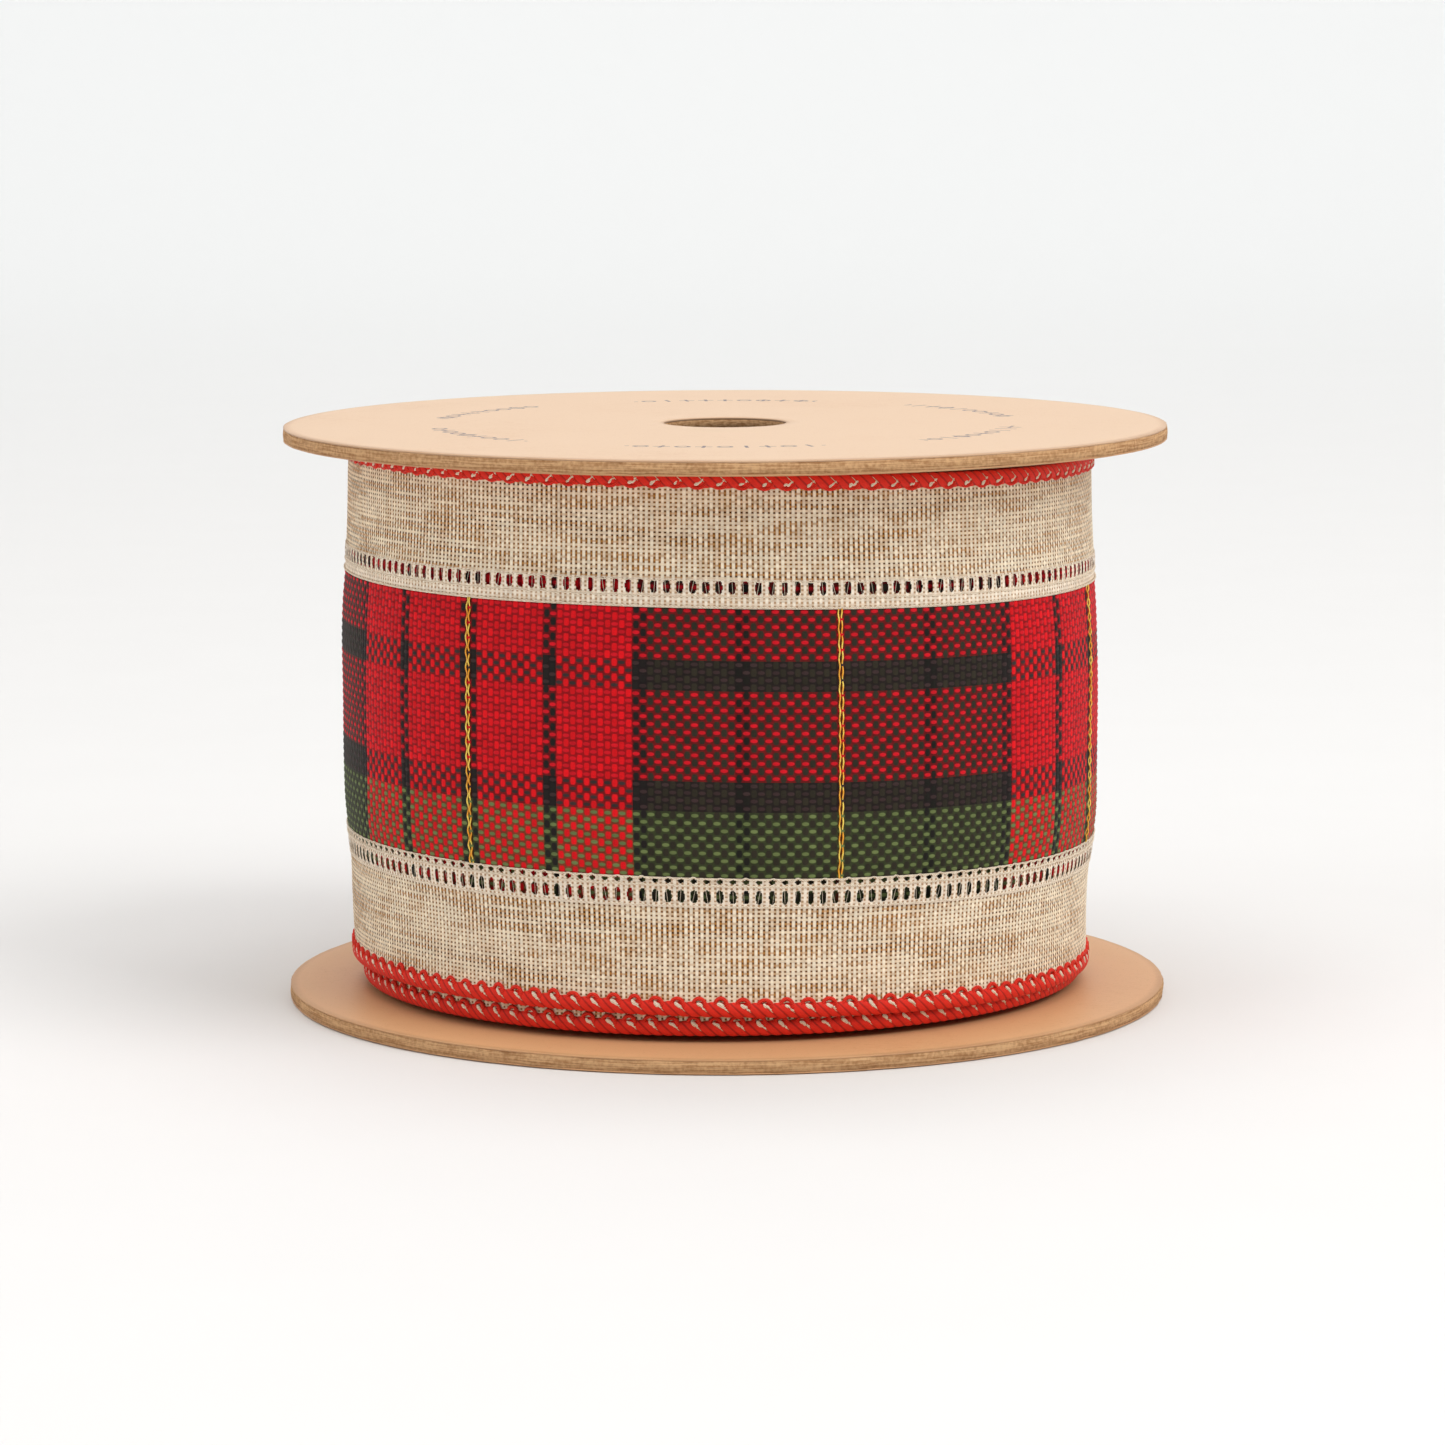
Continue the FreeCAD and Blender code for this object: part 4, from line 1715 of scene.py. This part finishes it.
@dataclass
class Studio:
    """A pale sweep, soft lights and the camera. The camera's place is in metres."""

    camera_place: tuple[float, float, float] = (0.0, -0.650857, 0.122618)
    pitch: float = 7.8074
    roll: float = -0.18
    yaw: float = -0.0377
    lens: float = 132.385
    lights: tuple[SoftLight, ...] = (
        SoftLight("key", (0.95, -0.62, 1.12), 0.9, 12.0),
        SoftLight("overhead", (0.0, 0.0, 1.5), 1.6, 14.5),
        SoftLight("fill", (-1.2, -0.7, 0.75), 1.0, 4.6),
    )
    sky: Colour = (1.0, 0.99, 0.975)
    sky_strength: float = 0.4

    def camera(self) -> None:
        """Sets up the camera, which looks a little down at the ribbon's middle."""
        pitch, yaw, roll = (math.radians(v) for v in (self.pitch, self.yaw, self.roll))
        ahead = Vector((math.sin(yaw) * math.cos(pitch), math.cos(yaw) * math.cos(pitch),
                        -math.sin(pitch)))
        level = Vector((math.cos(yaw), -math.sin(yaw), 0.0))
        upright = level.cross(ahead)
        right = math.cos(roll) * level + math.sin(roll) * upright
        up = math.cos(roll) * upright - math.sin(roll) * level
        data = bpy.data.cameras.new("camera")
        data.lens, data.sensor_width = self.lens, 36.0
        data.clip_start, data.clip_end = 0.01, 20.0
        made = bpy.data.objects.new("camera", data)
        turned = Matrix((right, up, -ahead)).transposed().to_4x4()
        made.matrix_world = Matrix.Translation(self.camera_place) @ turned
        bpy.context.scene.collection.objects.link(made)
        bpy.context.scene.camera = made

    def sweep(self) -> None:
        """A pale floor that curves up into a bright wall behind."""
        bend = np.linspace(0, math.pi / 2, 24)
        front, back, radius, tall, half_width = -3000.0, 1500.0, 900.0, 4000.0, 4000.0
        depth = np.concatenate([[front], back + radius * np.sin(bend), [back + radius]])
        height = np.concatenate([[0.0], radius * (1 - np.cos(bend)), [tall]]) - 0.02
        points = np.stack([np.stack([np.full_like(depth, x), depth, height], -1)
                           for x in (half_width, -half_width)])
        n = Nodes("pale_sweep")
        wall = n.parts(n.place())[1].step(0.1, 2.2)
        floor = n.mix(n.noise(n.place(), 40.0, 2.0), (0.76, 0.75, 0.74), (0.775, 0.765, 0.755))
        glow = n.mix(wall, (0.0, 0.0, 0.0), (0.22, 0.23, 0.23))
        n.join(glow, n.shader.inputs["Emission Color"])
        material = n.finish(n.mix(wall, floor, (0.95, 0.95, 0.95)), 0.7,
                            Specular_IOR_Level=0.15, Emission_Strength=1.0)
        Surface.grid(points).piece("sweep", material)

    def build(self) -> None:
        """Builds the studio."""
        self.camera()
        self.sweep()
        world = bpy.data.worlds.new("studio")
        world.use_nodes = True
        background = world.node_tree.nodes["Background"]
        background.inputs[0].default_value = (*self.sky, 1.0)
        background.inputs[1].default_value = self.sky_strength
        bpy.context.scene.world = world
        for light in self.lights:
            light.build()
        bpy.context.scene.view_settings.view_transform = "Standard"


def main() -> None:
    """Builds the spool, piece by piece, and its studio."""
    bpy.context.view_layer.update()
    finishes = Finishes()
    for side in Side:
        Flange(side, finishes).build()
    Core(finishes).build()
    Ribbon(finishes).build()
    Studio().build()


if __name__ == "__main__":
    logging.basicConfig(level=logging.INFO, format="%(name)s: %(message)s")
    main()
